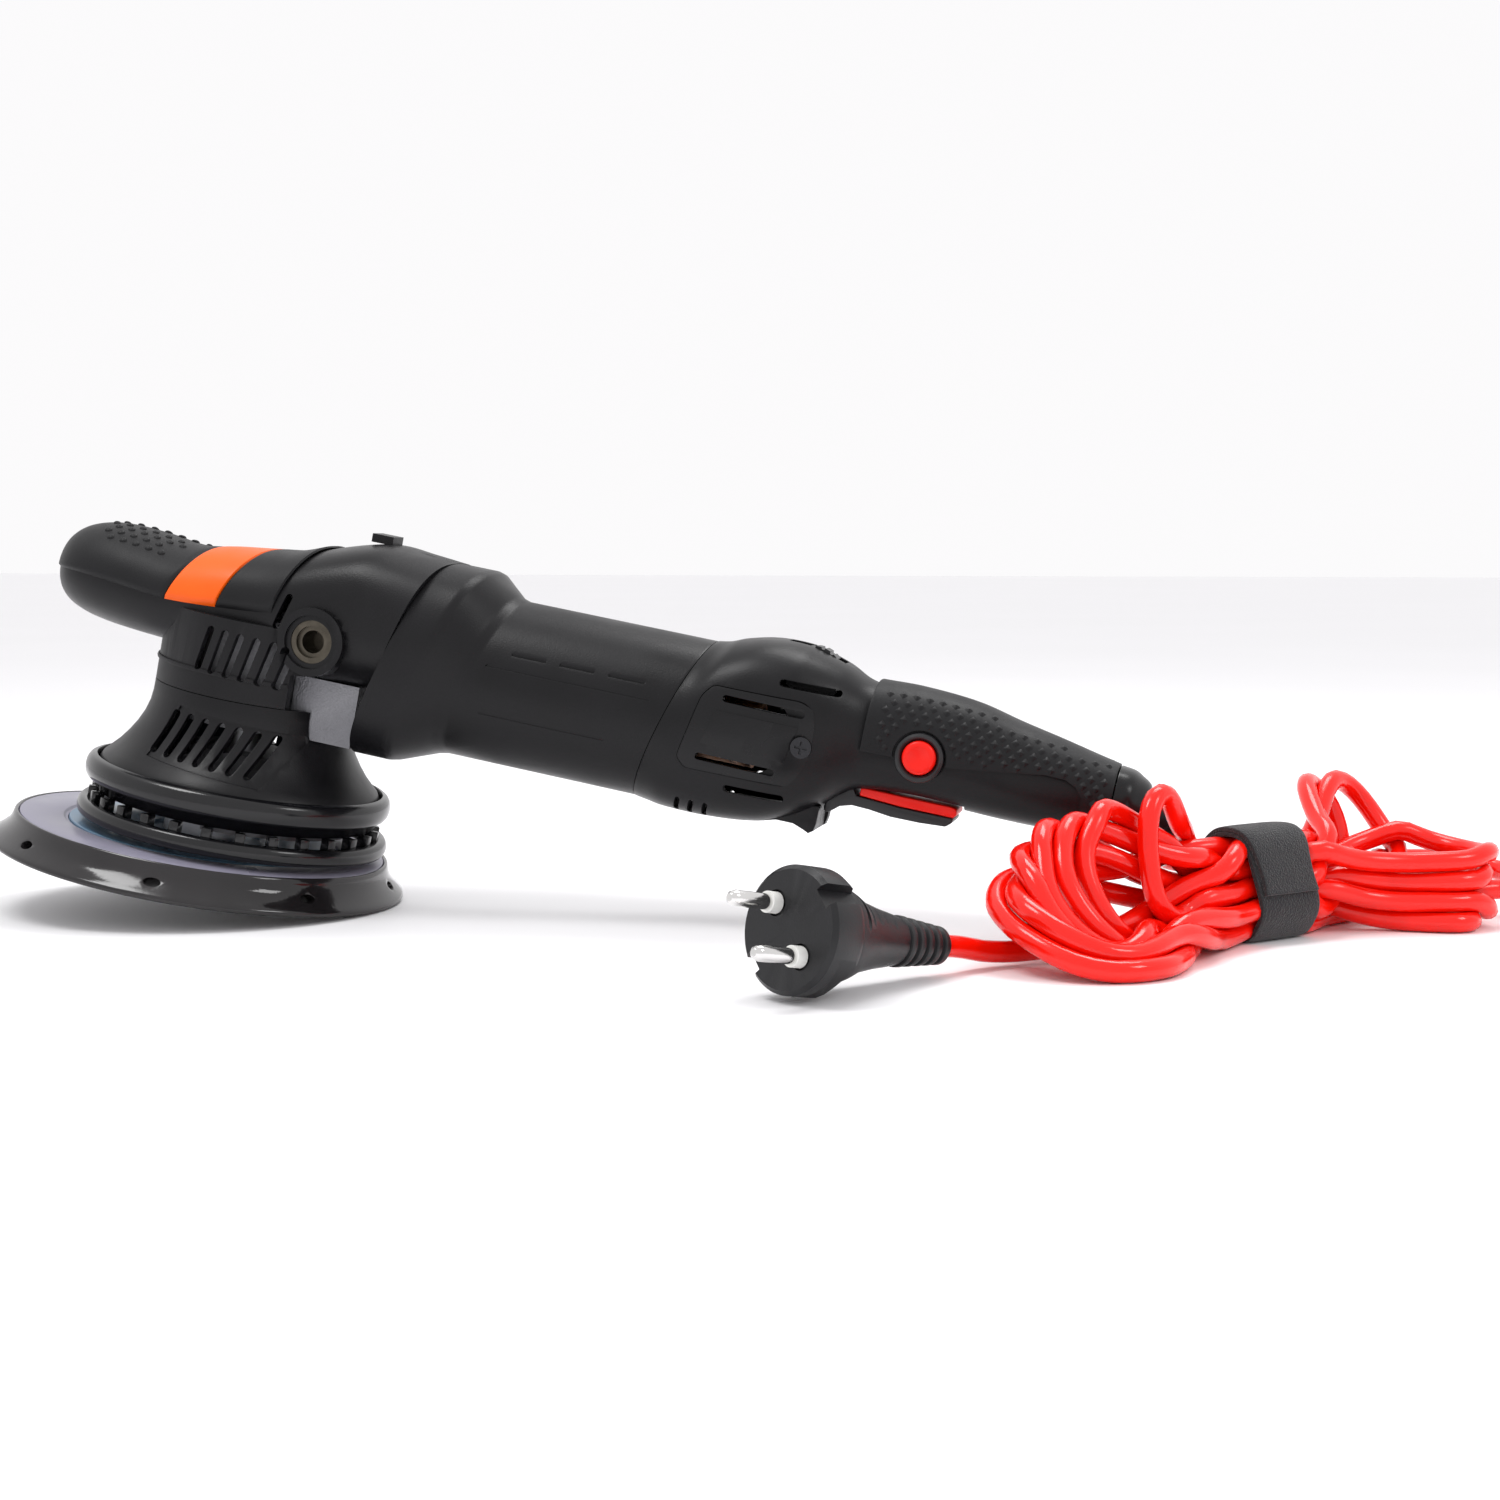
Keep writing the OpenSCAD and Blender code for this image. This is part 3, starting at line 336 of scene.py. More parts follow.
    def modify(self, kind: str, **settings: object) -> "Workpiece":
        """Adds a modifier and applies it."""
        self.active()
        made = self.obj.modifiers.new(kind.lower(), kind)
        for key, value in settings.items():
            setattr(made, key, value)
        bpy.ops.object.modifier_apply(modifier=made.name)
        return self

    def combine(self, other: "Workpiece", how: str) -> "Workpiece":
        """Joins, cuts or intersects with another piece, which is used up."""
        self.modify("BOOLEAN", operation=how, solver="EXACT", object=other.obj)
        bpy.data.objects.remove(other.obj)
        return self

    def cut(self, *others: "Workpiece") -> "Workpiece":
        """Cuts other pieces out of this one."""
        for other in others:
            self.combine(other, "DIFFERENCE")
        return self

    def add(self, *others: "Workpiece") -> "Workpiece":
        """Welds other pieces on."""
        for other in others:
            self.combine(other, "UNION")
        return self

    def join(self, *others: "Workpiece") -> "Workpiece":
        """Joins loose pieces into one object without welding."""
        self.active()
        for other in others:
            other.obj.select_set(True)
        bpy.ops.object.join()
        return self

    def copy(self, name: str) -> "Workpiece":
        """A copy with its own mesh."""
        twin = self.obj.copy()
        twin.data = self.obj.data.copy()
        twin.name = name
        bpy.context.scene.collection.objects.link(twin)
        return Workpiece(twin)

    def moved(self, matrix: Matrix) -> "Workpiece":
        """Moves the mesh itself."""
        self.obj.data.transform(matrix)
        return self

    def soften(self, width: float, segments: int = 2, angle: float = 35) -> "Workpiece":
        """Rounds the sharp edges."""
        return self.modify("BEVEL", width=width, segments=segments, limit_method="ANGLE",
                           angle_limit=math.radians(angle), harden_normals=False)

    def halve(self, side: Side, gap: float = 0.06) -> "Workpiece":
        """Keeps the part on one side of the seam plane and closes it."""
        self.active()
        bpy.ops.object.mode_set(mode="EDIT")
        bpy.ops.mesh.select_all(action="SELECT")
        bpy.ops.mesh.bisect(plane_co=(0, side.value * gap, 0), plane_no=(0, side.value, 0),
                            use_fill=True, clear_inner=True, clear_outer=False)
        bpy.ops.object.mode_set(mode="OBJECT")
        return self

    # --- finishing ---

    def finish(self, finish: "Finish", body: Body, slot: str, replaces: Sequence[str] = (),
               lay: Matrix | None = None, smooth: float = 32) -> bpy.types.Object:
        """Lays the piece down, dresses it and lets it ride.

        Args:
            finish: Its material.
            body: The body that it moves with.
            slot: The record's material slot; not used.
            replaces: CAD nodes that it stands for.
            lay: Matrix from the bench to the row frame.
            smooth: Angle in degrees under which faces are shaded as one.

        Returns:
            The finished object.
        """
        self.obj.data.transform(TOOL.lay if lay is None else lay)
        self.obj.data.materials.clear()
        self.obj.data.materials.append(finish.material())
        self.active()
        bpy.ops.object.shade_smooth_by_angle(angle=math.radians(smooth))
        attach(self.obj, body.value)
        if replaces:
            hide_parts(*replaces)
        LOG.info("piece %s: %d faces", self.obj.name, len(self.obj.data.polygons))
        return self.obj


def capsule(name: str, x: float, z: float, length: float, width: float, angle: float,
            y0: float, y1: float) -> Workpiece:
    """A slot cutter with round ends, reaching from y0 to y1."""
    turn, half = math.radians(angle), length / 2 - width / 2
    rim = []
    for end, first in ((1, -90), (-1, 90)):
        for k in range(7):
            a = math.radians(first + 30 * k)
            u, v = end * half + width / 2 * math.cos(a), width / 2 * math.sin(a)
            rim.append((x + u * math.cos(turn) - v * math.sin(turn), y0,
                        z + u * math.sin(turn) + v * math.cos(turn)))
    return Workpiece.outline(name, rim, (0, y1 - y0, 0))


# ---------------------------------------------------------------------------------------------
# Finishes
# ---------------------------------------------------------------------------------------------

Colour = tuple[float, float, float]


@dataclass(frozen=True)
class Finish:
    """A procedural surface. Grain and mottling read Object coordinates, in metres."""

    name: str
    colour: Colour
    roughness: float = 0.4
    metallic: float = 0.0
    grain: float = 0.4
    depth: float = 0.12
    mottle: float = 0.15
    mottle_size: float = 30.0
    wear: float = 0.0
    wear_colour: Colour = (0.3, 0.3, 0.3)
    coat: float = 0.0
    sheen: float = 0.0
    specular: float = 0.5
    subsurface: float = 0.0

    def material(self) -> bpy.types.Material:
        """The Blender material, made once for each finish."""
        known = bpy.data.materials.get(f"{self.name}_finish")
        return known if known else self._build()

    def _build(self) -> bpy.types.Material:
        """Makes the node tree."""
        made = bpy.data.materials.new(f"{self.name}_finish")
        made.use_nodes = True
        tree = made.node_tree
        shader = tree.nodes["Principled BSDF"]
        shader.inputs["Metallic"].default_value = self.metallic
        shader.inputs["Coat Weight"].default_value = self.coat
        shader.inputs["Coat Roughness"].default_value = 0.12
        shader.inputs["Sheen Weight"].default_value = self.sheen
        shader.inputs["Sheen Roughness"].default_value = 0.4
        shader.inputs["Specular IOR Level"].default_value = self.specular
        if self.subsurface:
            shader.inputs["Subsurface Weight"].default_value = self.subsurface
            shader.inputs["Subsurface Radius"].default_value = (0.004, 0.002, 0.002)
        made.diffuse_color = (*self.colour, 1)
        coords = tree.nodes.new("ShaderNodeTexCoord")
        fine = self._noise(tree, coords, 1 / (self.grain * MM), 4)
        broad = self._noise(tree, coords, 1 / (self.mottle_size * MM), 3)
        self._colour(tree, shader, broad, fine)
        rough = tree.nodes.new("ShaderNodeMapRange")
        rough.inputs["To Min"].default_value = max(self.roughness - 0.09, 0.02)
        rough.inputs["To Max"].default_value = min(self.roughness + 0.11, 1.0)
        rough.inputs["From Min"].default_value = 0.3
        rough.inputs["From Max"].default_value = 0.7
        tree.links.new(broad.outputs["Fac"], rough.inputs["Value"])
        tree.links.new(rough.outputs["Result"], shader.inputs["Roughness"])
        self._relief(tree, shader, coords, fine)
        return made

    @staticmethod
    def _noise(tree: bpy.types.NodeTree, coords: bpy.types.Node, scale: float,
               detail: float) -> bpy.types.Node:
        """One noise pattern on Object coordinates."""
        noise = tree.nodes.new("ShaderNodeTexNoise")
        noise.inputs["Scale"].default_value = scale
        noise.inputs["Detail"].default_value = detail
        tree.links.new(coords.outputs["Object"], noise.inputs["Vector"])
        return noise

    def _colour(self, tree: bpy.types.NodeTree, shader: bpy.types.Node, broad: bpy.types.Node,
                fine: bpy.types.Node) -> None:
        """Mottled base colour, worn paler on sharp edges where asked."""
        ramp = tree.nodes.new("ShaderNodeValToRGB")
        low, high = 1 - self.mottle, 1 + self.mottle
        ramp.color_ramp.elements[0].color = (*[min(c * low, 1) for c in self.colour], 1)
        ramp.color_ramp.elements[1].color = (*[min(c * high, 1) for c in self.colour], 1)
        ramp.color_ramp.elements[0].position = 0.3
        ramp.color_ramp.elements[1].position = 0.7
        tree.links.new(broad.outputs["Fac"], ramp.inputs["Fac"])
        if not self.wear:
            tree.links.new(ramp.outputs["Color"], shader.inputs["Base Color"])
            return
        shape = tree.nodes.new("ShaderNodeNewGeometry")
        edge = tree.nodes.new("ShaderNodeMapRange")
        edge.inputs["From Min"].default_value = 0.56
        edge.inputs["From Max"].default_value = 0.68
        edge.inputs["To Max"].default_value = self.wear
        tree.links.new(shape.outputs["Pointiness"], edge.inputs["Value"])
        patchy = tree.nodes.new("ShaderNodeMath")
        patchy.operation = "MULTIPLY"
        tree.links.new(edge.outputs["Result"], patchy.inputs[0])
        tree.links.new(fine.outputs["Fac"], patchy.inputs[1])
        mix = tree.nodes.new("ShaderNodeMix")
        mix.data_type = "RGBA"
        mix.inputs["B"].default_value = (*self.wear_colour, 1)
        tree.links.new(patchy.outputs["Value"], mix.inputs["Factor"])
        tree.links.new(ramp.outputs["Color"], mix.inputs["A"])
        tree.links.new(mix.outputs["Result"], shader.inputs["Base Color"])

    def _relief(self, tree: bpy.types.NodeTree, shader: bpy.types.Node, coords: bpy.types.Node,
                fine: bpy.types.Node) -> None:
        """Fine relief of the surface."""
        bump = tree.nodes.new("ShaderNodeBump")
        bump.inputs["Strength"].default_value = 0.5
        bump.inputs["Distance"].default_value = self.depth * MM
        tree.links.new(fine.outputs["Fac"], bump.inputs["Height"])
        tree.links.new(bump.outputs["Normal"], shader.inputs["Normal"])


@dataclass(frozen=True)
class BrushedFinish(Finish):
    """Metal with fine turned lines, drawn out across one direction."""

    stretch: Point = (1.0, 1.0, 30.0)

    def _relief(self, tree: bpy.types.NodeTree, shader: bpy.types.Node, coords: bpy.types.Node,
                fine: bpy.types.Node) -> None:
        """Relief from stretched noise."""
        mapping = tree.nodes.new("ShaderNodeMapping")
        mapping.inputs["Scale"].default_value = self.stretch
        tree.links.new(coords.outputs["Object"], mapping.inputs["Vector"])
        tree.links.new(mapping.outputs["Vector"], fine.inputs["Vector"])
        super()._relief(tree, shader, coords, fine)


@dataclass(frozen=True)
class NapFinish(Finish):
    """Hook-and-loop tape: a matted nap of tiny loops."""

    loop: float = 0.5

    def _relief(self, tree: bpy.types.NodeTree, shader: bpy.types.Node, coords: bpy.types.Node,
                fine: bpy.types.Node) -> None:
        """Relief of the nap, cells mixed with noise."""
        cells = tree.nodes.new("ShaderNodeTexVoronoi")
        cells.inputs["Scale"].default_value = 1 / (self.loop * MM)
        tree.links.new(coords.outputs["Object"], cells.inputs["Vector"])
        both = tree.nodes.new("ShaderNodeMath")
        both.operation = "ADD"
        tree.links.new(cells.outputs["Distance"], both.inputs[0])
        tree.links.new(fine.outputs["Fac"], both.inputs[1])
        bump = tree.nodes.new("ShaderNodeBump")
        bump.inputs["Strength"].default_value = 0.9
        bump.inputs["Distance"].default_value = self.depth * MM
        tree.links.new(both.outputs["Value"], bump.inputs["Height"])
        tree.links.new(bump.outputs["Normal"], shader.inputs["Normal"])


CASING = Finish("casing_black", (0.0048, 0.0046, 0.0056), 0.38, grain=0.55, depth=0.12, mottle=0.3,
                specular=0.24)
CASING_SMOOTH = Finish("casing_smooth", (0.0045, 0.0043, 0.0052), 0.3, grain=0.7, depth=0.05, mottle=0.2,
                       specular=0.28)
SOFT = Finish("soft_black", (0.0062, 0.0062, 0.0072), 0.48, grain=0.3, depth=0.14, mottle=0.2,
              specular=0.24)
ORANGE = Finish("orange_band", (0.86, 0.105, 0.001), 0.4, grain=0.5, depth=0.05, mottle=0.06,
                specular=0.3)
RED = Finish("red_plastic", (0.85, 0.008, 0.002), 0.3, grain=0.5, depth=0.05, mottle=0.07, specular=0.3)
COLLAR = Finish("collar_black", (0.004, 0.004, 0.005), 0.17, grain=1.1, depth=0.04, mottle=0.25,
                specular=0.45)
# The gear case's grey is partly the cast metal's own tone and partly painted shade: darkened so that what
# shows through the vents reads dark.
CAST = Finish("cast_grey", (0.2, 0.2, 0.215), 0.46, metallic=0.75, grain=0.8, depth=0.5, mottle=0.16,
              mottle_size=6, wear=0.6, wear_colour=(0.7, 0.7, 0.72))
STEEL = BrushedFinish("steel", (0.5, 0.51, 0.53), 0.28, metallic=1.0, grain=2.0, depth=0.03, mottle=0.1)
BRASS = BrushedFinish("insert_brass", (0.085, 0.075, 0.06), 0.36, metallic=1.0, grain=2.0, depth=0.05,
                      mottle=0.2, mottle_size=4)
SCREW = BrushedFinish("screw_black", (0.035, 0.035, 0.038), 0.3, metallic=0.9, grain=2.0, depth=0.04,
                      mottle=0.15)
IRON = Finish("iron_weight", (0.16, 0.16, 0.17), 0.55, metallic=0.8, grain=0.9, depth=0.3, mottle=0.2)
PLATE = Finish("plate_blue", (0.1, 0.19, 0.29), 0.36, grain=0.9, depth=0.06, mottle=0.16, coat=0.2)
# Outer ring of the backing plate: the plate's blue lightened to lavender-grey, a painted reflection of
# the bright surround on its glossy top.
PLATE_RIM_PAINTED_REFLECTION = Finish("plate_rim_painted_reflection", (0.25, 0.24, 0.31), 0.34, grain=0.9, depth=0.05, mottle=0.12)
SKIRT = Finish("skirt_smoke", (0.012, 0.0105, 0.0115), 0.12, grain=1.4, depth=0.05, mottle=0.35,
               specular=0.5)
HOOKS = NapFinish("hook_black", (0.012, 0.012, 0.014), 0.8, grain=0.3, depth=0.3, mottle=0.3, loop=0.7)
COPPER = BrushedFinish("winding_copper", (0.55, 0.23, 0.09), 0.35, metallic=0.9, grain=0.6, depth=0.2,
                       mottle=0.2, mottle_size=4)
LAMINATION = BrushedFinish("lamination", (0.15, 0.13, 0.12), 0.5, metallic=0.7, grain=0.7, depth=0.2,
                           stretch=(20.0, 1.0, 1.0))
CARBON = Finish("carbon", (0.02, 0.02, 0.02), 0.6, grain=0.4, depth=0.15)
BOARD = Finish("board_green", (0.015, 0.11, 0.03), 0.35, grain=0.6, depth=0.05, mottle=0.3, mottle_size=4)
CORD = Finish("cord_red", (0.86, 0.006, 0.001), 0.16, grain=2.2, depth=0.04, mottle=0.1, mottle_size=14,
              coat=0.1, specular=0.4)
TAPE = NapFinish("tie_black", (0.009, 0.009, 0.011), 0.85, grain=0.35, depth=0.35, mottle=0.35,
                 mottle_size=5, sheen=0.25, loop=0.6)
PLUG = Finish("plug_black", (0.006, 0.006, 0.0075), 0.36, grain=0.5, depth=0.1, mottle=0.2, specular=0.4)
NICKEL = BrushedFinish("pin_nickel", (0.72, 0.71, 0.7), 0.13, metallic=1.0, grain=2.0, depth=0.02,
                       mottle=0.06)
WHITE = Finish("sleeve_white", (0.82, 0.82, 0.79), 0.45, grain=0.5, depth=0.04, mottle=0.04)
BLACK = Finish("button_black", (0.006, 0.006, 0.0075), 0.36, grain=0.5, depth=0.08, mottle=0.2)
PALE = Finish("studio_floor", (0.93, 0.925, 0.94), 0.55, grain=3.0, depth=0.02, mottle=0.01,
              mottle_size=400, specular=0.3)


# ---------------------------------------------------------------------------------------------
# Studio
# ---------------------------------------------------------------------------------------------


@dataclass
class Studio:
    """Camera, floor and lights, in metres."""

    eye: Point = (0.25346, -0.8557, 0.1323)
    ahead: Point = (-0.21255, 0.97370, -0.08205)
    lens: float = 60.56
    floor_half: float = 9.0

    def camera(self) -> None:
        """Sets the camera at the viewing angle."""
        clear_selection()
        bpy.ops.object.camera_add(location=self.eye)
        cam = bpy.context.object
        cam.rotation_mode = "QUATERNION"
        cam.rotation_quaternion = Vector(self.ahead).to_track_quat("-Z", "Y")
        cam.data.lens = self.lens
        cam.data.sensor_width = 36.0
        cam.data.clip_start, cam.data.clip_end = 0.02, 60
        bpy.context.scene.camera = cam

    def floor(self) -> None:
        """A plain pale floor."""
        clear_selection()
        bpy.ops.mesh.primitive_plane_add(size=2 * self.floor_half)
        ground = bpy.context.object
        ground.name = "studio_floor"
        ground.data.materials.append(PALE.material())

    def lights(self) -> None:
        """Soft boxes round the object and a pale surround."""
        self._softbox("key", (-0.35, -0.3, 1.1), (0.0, 0, 0.06), 0.4, 5)
        self._softbox("top", (0.25, 0.45, 1.1), (0.05, 0, 0.05), 0.5, 5)
        self._softbox("side", (1.0, -0.3, 0.8), (0.1, 0, 0.05), 0.3, 2)
        world = bpy.data.worlds.new("surround")
        bpy.context.scene.world = world
        world.use_nodes = True
        world.node_tree.nodes["Background"].inputs["Color"].default_value = (1, 0.992, 1, 1)
        world.node_tree.nodes["Background"].inputs["Strength"].default_value = 0.97

    @staticmethod
    def _softbox(name: str, place: Point, aim: Point, size: float, power: float) -> None:
        """One square light."""
        clear_selection()
        bpy.ops.object.light_add(type="AREA", location=place)
        lamp = bpy.context.object
        lamp.name = name
        lamp.data.shape = "SQUARE"
        lamp.data.size = size
        lamp.data.energy = power
        lamp.rotation_mode = "QUATERNION"
        lamp.rotation_quaternion = (Vector(aim) - Vector(place)).to_track_quat("-Z", "Y")

    def build(self) -> None:
        """Makes the whole studio."""
        bpy.context.scene.view_settings.view_transform = "Standard"
        self.camera()
        self.floor()
        self.lights()


# ---------------------------------------------------------------------------------------------
# Cord, tie and plug
# ---------------------------------------------------------------------------------------------


def distance_along(line: np.ndarray) -> np.ndarray:
    """How far along a line each of its points lies."""
    return np.concatenate([[0], np.cumsum(np.linalg.norm(np.diff(line, axis=0), axis=1))])


@dataclass(frozen=True)
class Lobe:
    """One loop of the hank beyond the tie, in millimetres along and across the hank.

    A loop leaves the tie, opens to twice ``half`` and turns round at ``reach``. ``tilt`` raises its
    far strand, ``aside`` moves its end across the hank and ``rise`` lifts it off the floor.
    """

    reach: float
    half: float
    tilt: float
    aside: float
    rise: float


@dataclass
class Hank:
    """The supply cord, tied in a hank behind the tail, and its hook-and-loop tie."""

    diameter: float = 7.0
    centre: Flat = (370.0, 2.0)
    angle: float = 49.0
    tie_width: float = 28.0
    tail: Point = (328.1, 0.0, 44.21)
    spacing: float = 4.0
    boot: tuple[Point, ...] = (
        (0, 0, 0), (5, 0, -1.2), (9, 1.6, -4.4), (11, 5.6, -9), (11, 10.8, -13.6), (9.5, 17, -18))
    lead: tuple[Point, ...] = (
        (9.5, 17, -18), (7.8, 26, -20.2), (9.4, 35.4, -21.8), (14.6, 43.6, -22.8), (22.6, 49.4, -22.8),
        (32, 51.4, -21.6), (41.4, 49.2, -19.2), (49, 43, -16.6), (54, 36, -15), (56.5, 27, -13.8),
        (54.5, 19, -13.2))
    run: tuple[Point, ...] = (
        (277, -98, 9.5), (280.6, -92.6, 8.6), (284.4, -87.4, 7.4), (290, -80.6, 5.6))
    left_lobes: tuple[Lobe, ...] = (
        Lobe(114, 30, 27, -12, 3), Lobe(117, 35, 24, -12, -1), Lobe(108, 31, 37, -8, 0),
        Lobe(103, 29, 43, -6, 1), Lobe(92, 27, 52, -4, 2), Lobe(80, 26, 62, 0, 2),
        Lobe(54, 25, 80, -3, 4))
    right_lobes: tuple[Lobe, ...] = (
        Lobe(84, 26, 2, -15, 0), Lobe(87, 27, 2, -14, 7.2), Lobe(90, 27, 3, -13, 14.4),
        Lobe(93, 27, 4, -12, 21.6), Lobe(112, 25, 8, -14, 12), Lobe(82, 25, 62, 14, 6),
        Lobe(70, 24, 74, 22, 4))

    def _laid(self, along: float, across: float, up: float) -> np.ndarray:
        """A hank place as row millimetres."""
        c, s = math.cos(math.radians(self.angle)), math.sin(math.radians(self.angle))
        return np.array([self.centre[0] - ORIGIN_X + along * c - across * s,
                         self.centre[1] + along * s + across * c, up])

    def slots(self) -> list[Flat]:
        """Places of the strands inside the tie, as (across, up), packed a diameter apart."""
        pitch, rise = self.diameter + 0.3, self.diameter * 0.9
        rows = ((3, 0.0), (4, 0.5), (3, 0.0), (3, 0.5), (2, 0.0))
        found = []
        for level, (count, shift) in enumerate(rows):
            for k in range(count):
                across = (k - (count - 1) / 2) * pitch + (0 if count != 3 or shift == 0 else pitch / 2)
                found.append((across, 5.5 + level * rise))
        return found

    def _strand_slots(self) -> list[Flat]:
        """The slot of each strand: leftward ones high and far, rightward ones low and near."""
        ordered = sorted(self.slots(), key=lambda p: p[1] + 0.4 * p[0])
        loops = len(self.left_lobes)
        low, high = ordered[:loops], ordered[loops:]
        strands: list[Flat] = [high[-1]]
        for k in range(loops):
            strands += [low[k], high[k]]
        return strands

    def _loop(self, lobe: Lobe, sign: float, start: Flat, end: Flat) -> list[np.ndarray]:
        """Points of one loop outside the tie.

        Args:
            lobe: Its size.
            sign: -1 for the plug side, 1 for the far side.
            start: Slot that it leaves.
            end: Slot that it returns to.

        Returns:
            Points from tie edge to tie edge.
        """
        edge = self.tie_width / 2 + 3
        c, s = math.cos(math.radians(lobe.tilt)), math.sin(math.radians(lobe.tilt))
        base = self.diameter / 2 + 0.4 + lobe.rise + lobe.half * s
        shape = ((0.42, 0.66), (0.7, 1.0), (0.9, 0.78), (1.0, 0.0), (0.9, -0.78), (0.7, -1.0),
                 (0.42, -0.66))
        made = []
        for share, width in shape:
            along = edge + (lobe.reach - edge) * share
            aside = lobe.aside * min(1.0, share * 1.3)
            blend = min(1.0, share * 1.7)
            slot = start if width > 0 else end
            across = (1 - blend) * slot[0] + blend * (aside + lobe.half * width * c)
            up = (1 - blend) * slot[1] + blend * (base + lobe.half * width * s)
            made.append(self._laid(sign * along, across, max(up, self.diameter / 2 + 0.3)))
        return made

    def _coarse(self) -> tuple[list[np.ndarray], list[bool]]:
        """The route before it settles, and which of its points the tie or an end holds."""
        offset = np.array([ORIGIN_X, 0, 0])
        points = [np.array(p) + np.array(self.tail) - offset for p in self.lead]
        held = [k < 3 for k in range(len(points))]
        strands = self._strand_slots()
        edge = self.tie_width / 2

        def through(slot: Flat, sign: float) -> None:
            """Passes the tie in one slot."""
            for along in (-edge, 0, edge):
                points.append(self._laid(sign * along, slot[0], slot[1]))
                held.append(True)

        through(strands[0], -1)
        for k, pair in enumerate(zip(self.left_lobes, self.right_lobes)):
            for first, (lobe, sign) in enumerate(zip(pair, (-1, 1)), start=2 * k):
                looped = self._loop(lobe, sign, strands[first], strands[first + 1])
                points += looped
                held += [False] * len(looped)
                through(strands[first + 1], -sign)
        for share in (0.3, 0.62):
            points.append(self._laid(-(edge + (100 - edge) * share), -2 * share, 16 - 10 * share))
            held.append(False)
        for p in reversed(self.run):
            points.append(np.array(p) - offset)
            held.append(True)
        return points, held

    @staticmethod
    def _smooth(points: Sequence[np.ndarray], spacing: float) -> tuple[np.ndarray, np.ndarray]:
        """A smooth line through points, evenly spaced.

        Args:
            points: Places that it passes.
            spacing: Distance between the new points.

        Returns:
            The new points, and the share of each between its two given neighbours.
        """
        p = np.array(points)
        gaps = np.linalg.norm(np.diff(p, axis=0), axis=1) ** 0.5
        knots = np.concatenate([[0], np.cumsum(gaps)])
        padded = np.vstack([2 * p[0] - p[1], p, 2 * p[-1] - p[-2]])
        times = np.concatenate([[-gaps[0]], knots, [knots[-1] + gaps[-1]]])
        fine, index = [], []
        for i in range(len(p) - 1):
            t0, t1, t2, t3 = times[i:i + 4]
            p0, p1, p2, p3 = padded[i:i + 4]
            for t in np.linspace(t1, t2, 24, endpoint=False):
                a1 = (t1 - t) / (t1 - t0) * p0 + (t - t0) / (t1 - t0) * p1
                a2 = (t2 - t) / (t2 - t1) * p1 + (t - t1) / (t2 - t1) * p2
                a3 = (t3 - t) / (t3 - t2) * p2 + (t - t2) / (t3 - t2) * p3
                b1 = (t2 - t) / (t2 - t0) * a1 + (t - t0) / (t2 - t0) * a2
                b2 = (t3 - t) / (t3 - t1) * a2 + (t - t1) / (t3 - t1) * a3
                fine.append((t2 - t) / (t2 - t1) * b1 + (t - t1) / (t2 - t1) * b2)
                index.append(i + (t - t1) / (t2 - t1))
        fine.append(p[-1])
        index.append(len(p) - 1)
        line = np.array(fine)
        run = distance_along(line)
        even = np.linspace(0, run[-1], int(run[-1] / spacing) + 1)
        return (np.stack([np.interp(even, run, line[:, k]) for k in range(3)], 1),
                np.interp(even, run, np.array(index)))

    def _settle(self, line: np.ndarray, held: np.ndarray, rounds: int) -> np.ndarray:
        """Lets the cord lie: it keeps its length, bends gently, rests on the floor and on itself.

        Args:
            line: Evenly spaced points.
            held: Which of them can't move.
            rounds: How many steps.

        Returns:
            The settled points.
        """
        p, start = line.copy(), line.copy()
        rest = np.linalg.norm(np.diff(line, axis=0), axis=1)
        free = (~held).astype(float)[:, None]
        reach = self.diameter + 0.12
        apart = int(2.6 * self.diameter / self.spacing)
        pairs = np.zeros((0, 2), int)
        sag, memory, ease = 0.04, 0.012, 0.36
        tail_a = np.array([270 - ORIGIN_X, 0, 70.0])
        tail = np.array([334 - ORIGIN_X, 0, 53.5]) - tail_a
        wall = 17.0 + self.diameter / 2
        for step in range(rounds):
            if step % 8 == 0:
                far = np.linalg.norm(p[:, None] - p[None], axis=2)
                i, j = np.nonzero(np.triu(far < reach * 1.8, apart))
                pairs = np.stack([i, j], 1)
            p[:, 2] -= sag * free[:, 0]
            p += free * memory * (start - p)
            middle = (p[:-2] + p[2:]) / 2
            p[1:-1] += free[1:-1] * ease * (middle - p[1:-1])
            for _ in range(3):
                step_vec = np.diff(p, axis=0)
                size = np.linalg.norm(step_vec, axis=1, keepdims=True)
                pull = step_vec / size * (size - rest[:, None]) * 0.5
                p[:-1] += pull * free[:-1]
                p[1:] -= pull * free[1:]
            for _ in range(2):
                i, j = pairs[:, 0], pairs[:, 1]
                gap = p[i] - p[j]
                size = np.linalg.norm(gap, axis=1, keepdims=True)
                push = np.clip(reach - size, 0, 1.5) * 0.5 * gap / np.maximum(size, 1e-6)
                np.add.at(p, i, push * free[i])
                np.add.at(p, j, -push * free[j])
            p[:, 2] = np.maximum(p[:, 2], self.diameter / 2 + 0.1)
            along = np.clip(((p - tail_a) @ tail) / (tail @ tail), 0, 1)
            near = tail_a + along[:, None] * tail
            off = p - near
            size = np.linalg.norm(off, axis=1, keepdims=True)
            p += free * np.clip(wall - size, 0, 2.0) * off / np.maximum(size, 1e-6) * 0.7
        return p

    def route(self) -> np.ndarray:
        """The settled centre line, in row metres."""
        points, held = self._coarse()
        line, index = self._smooth(points, self.spacing)
        marks = np.array(held)
        low = np.floor(index).astype(int)
        high = np.minimum(low + 1, len(marks) - 1)
        fixed = marks[low] & marks[high]
        rounds = 260
        settled = self._settle(line, fixed, rounds)
        return settled * MM

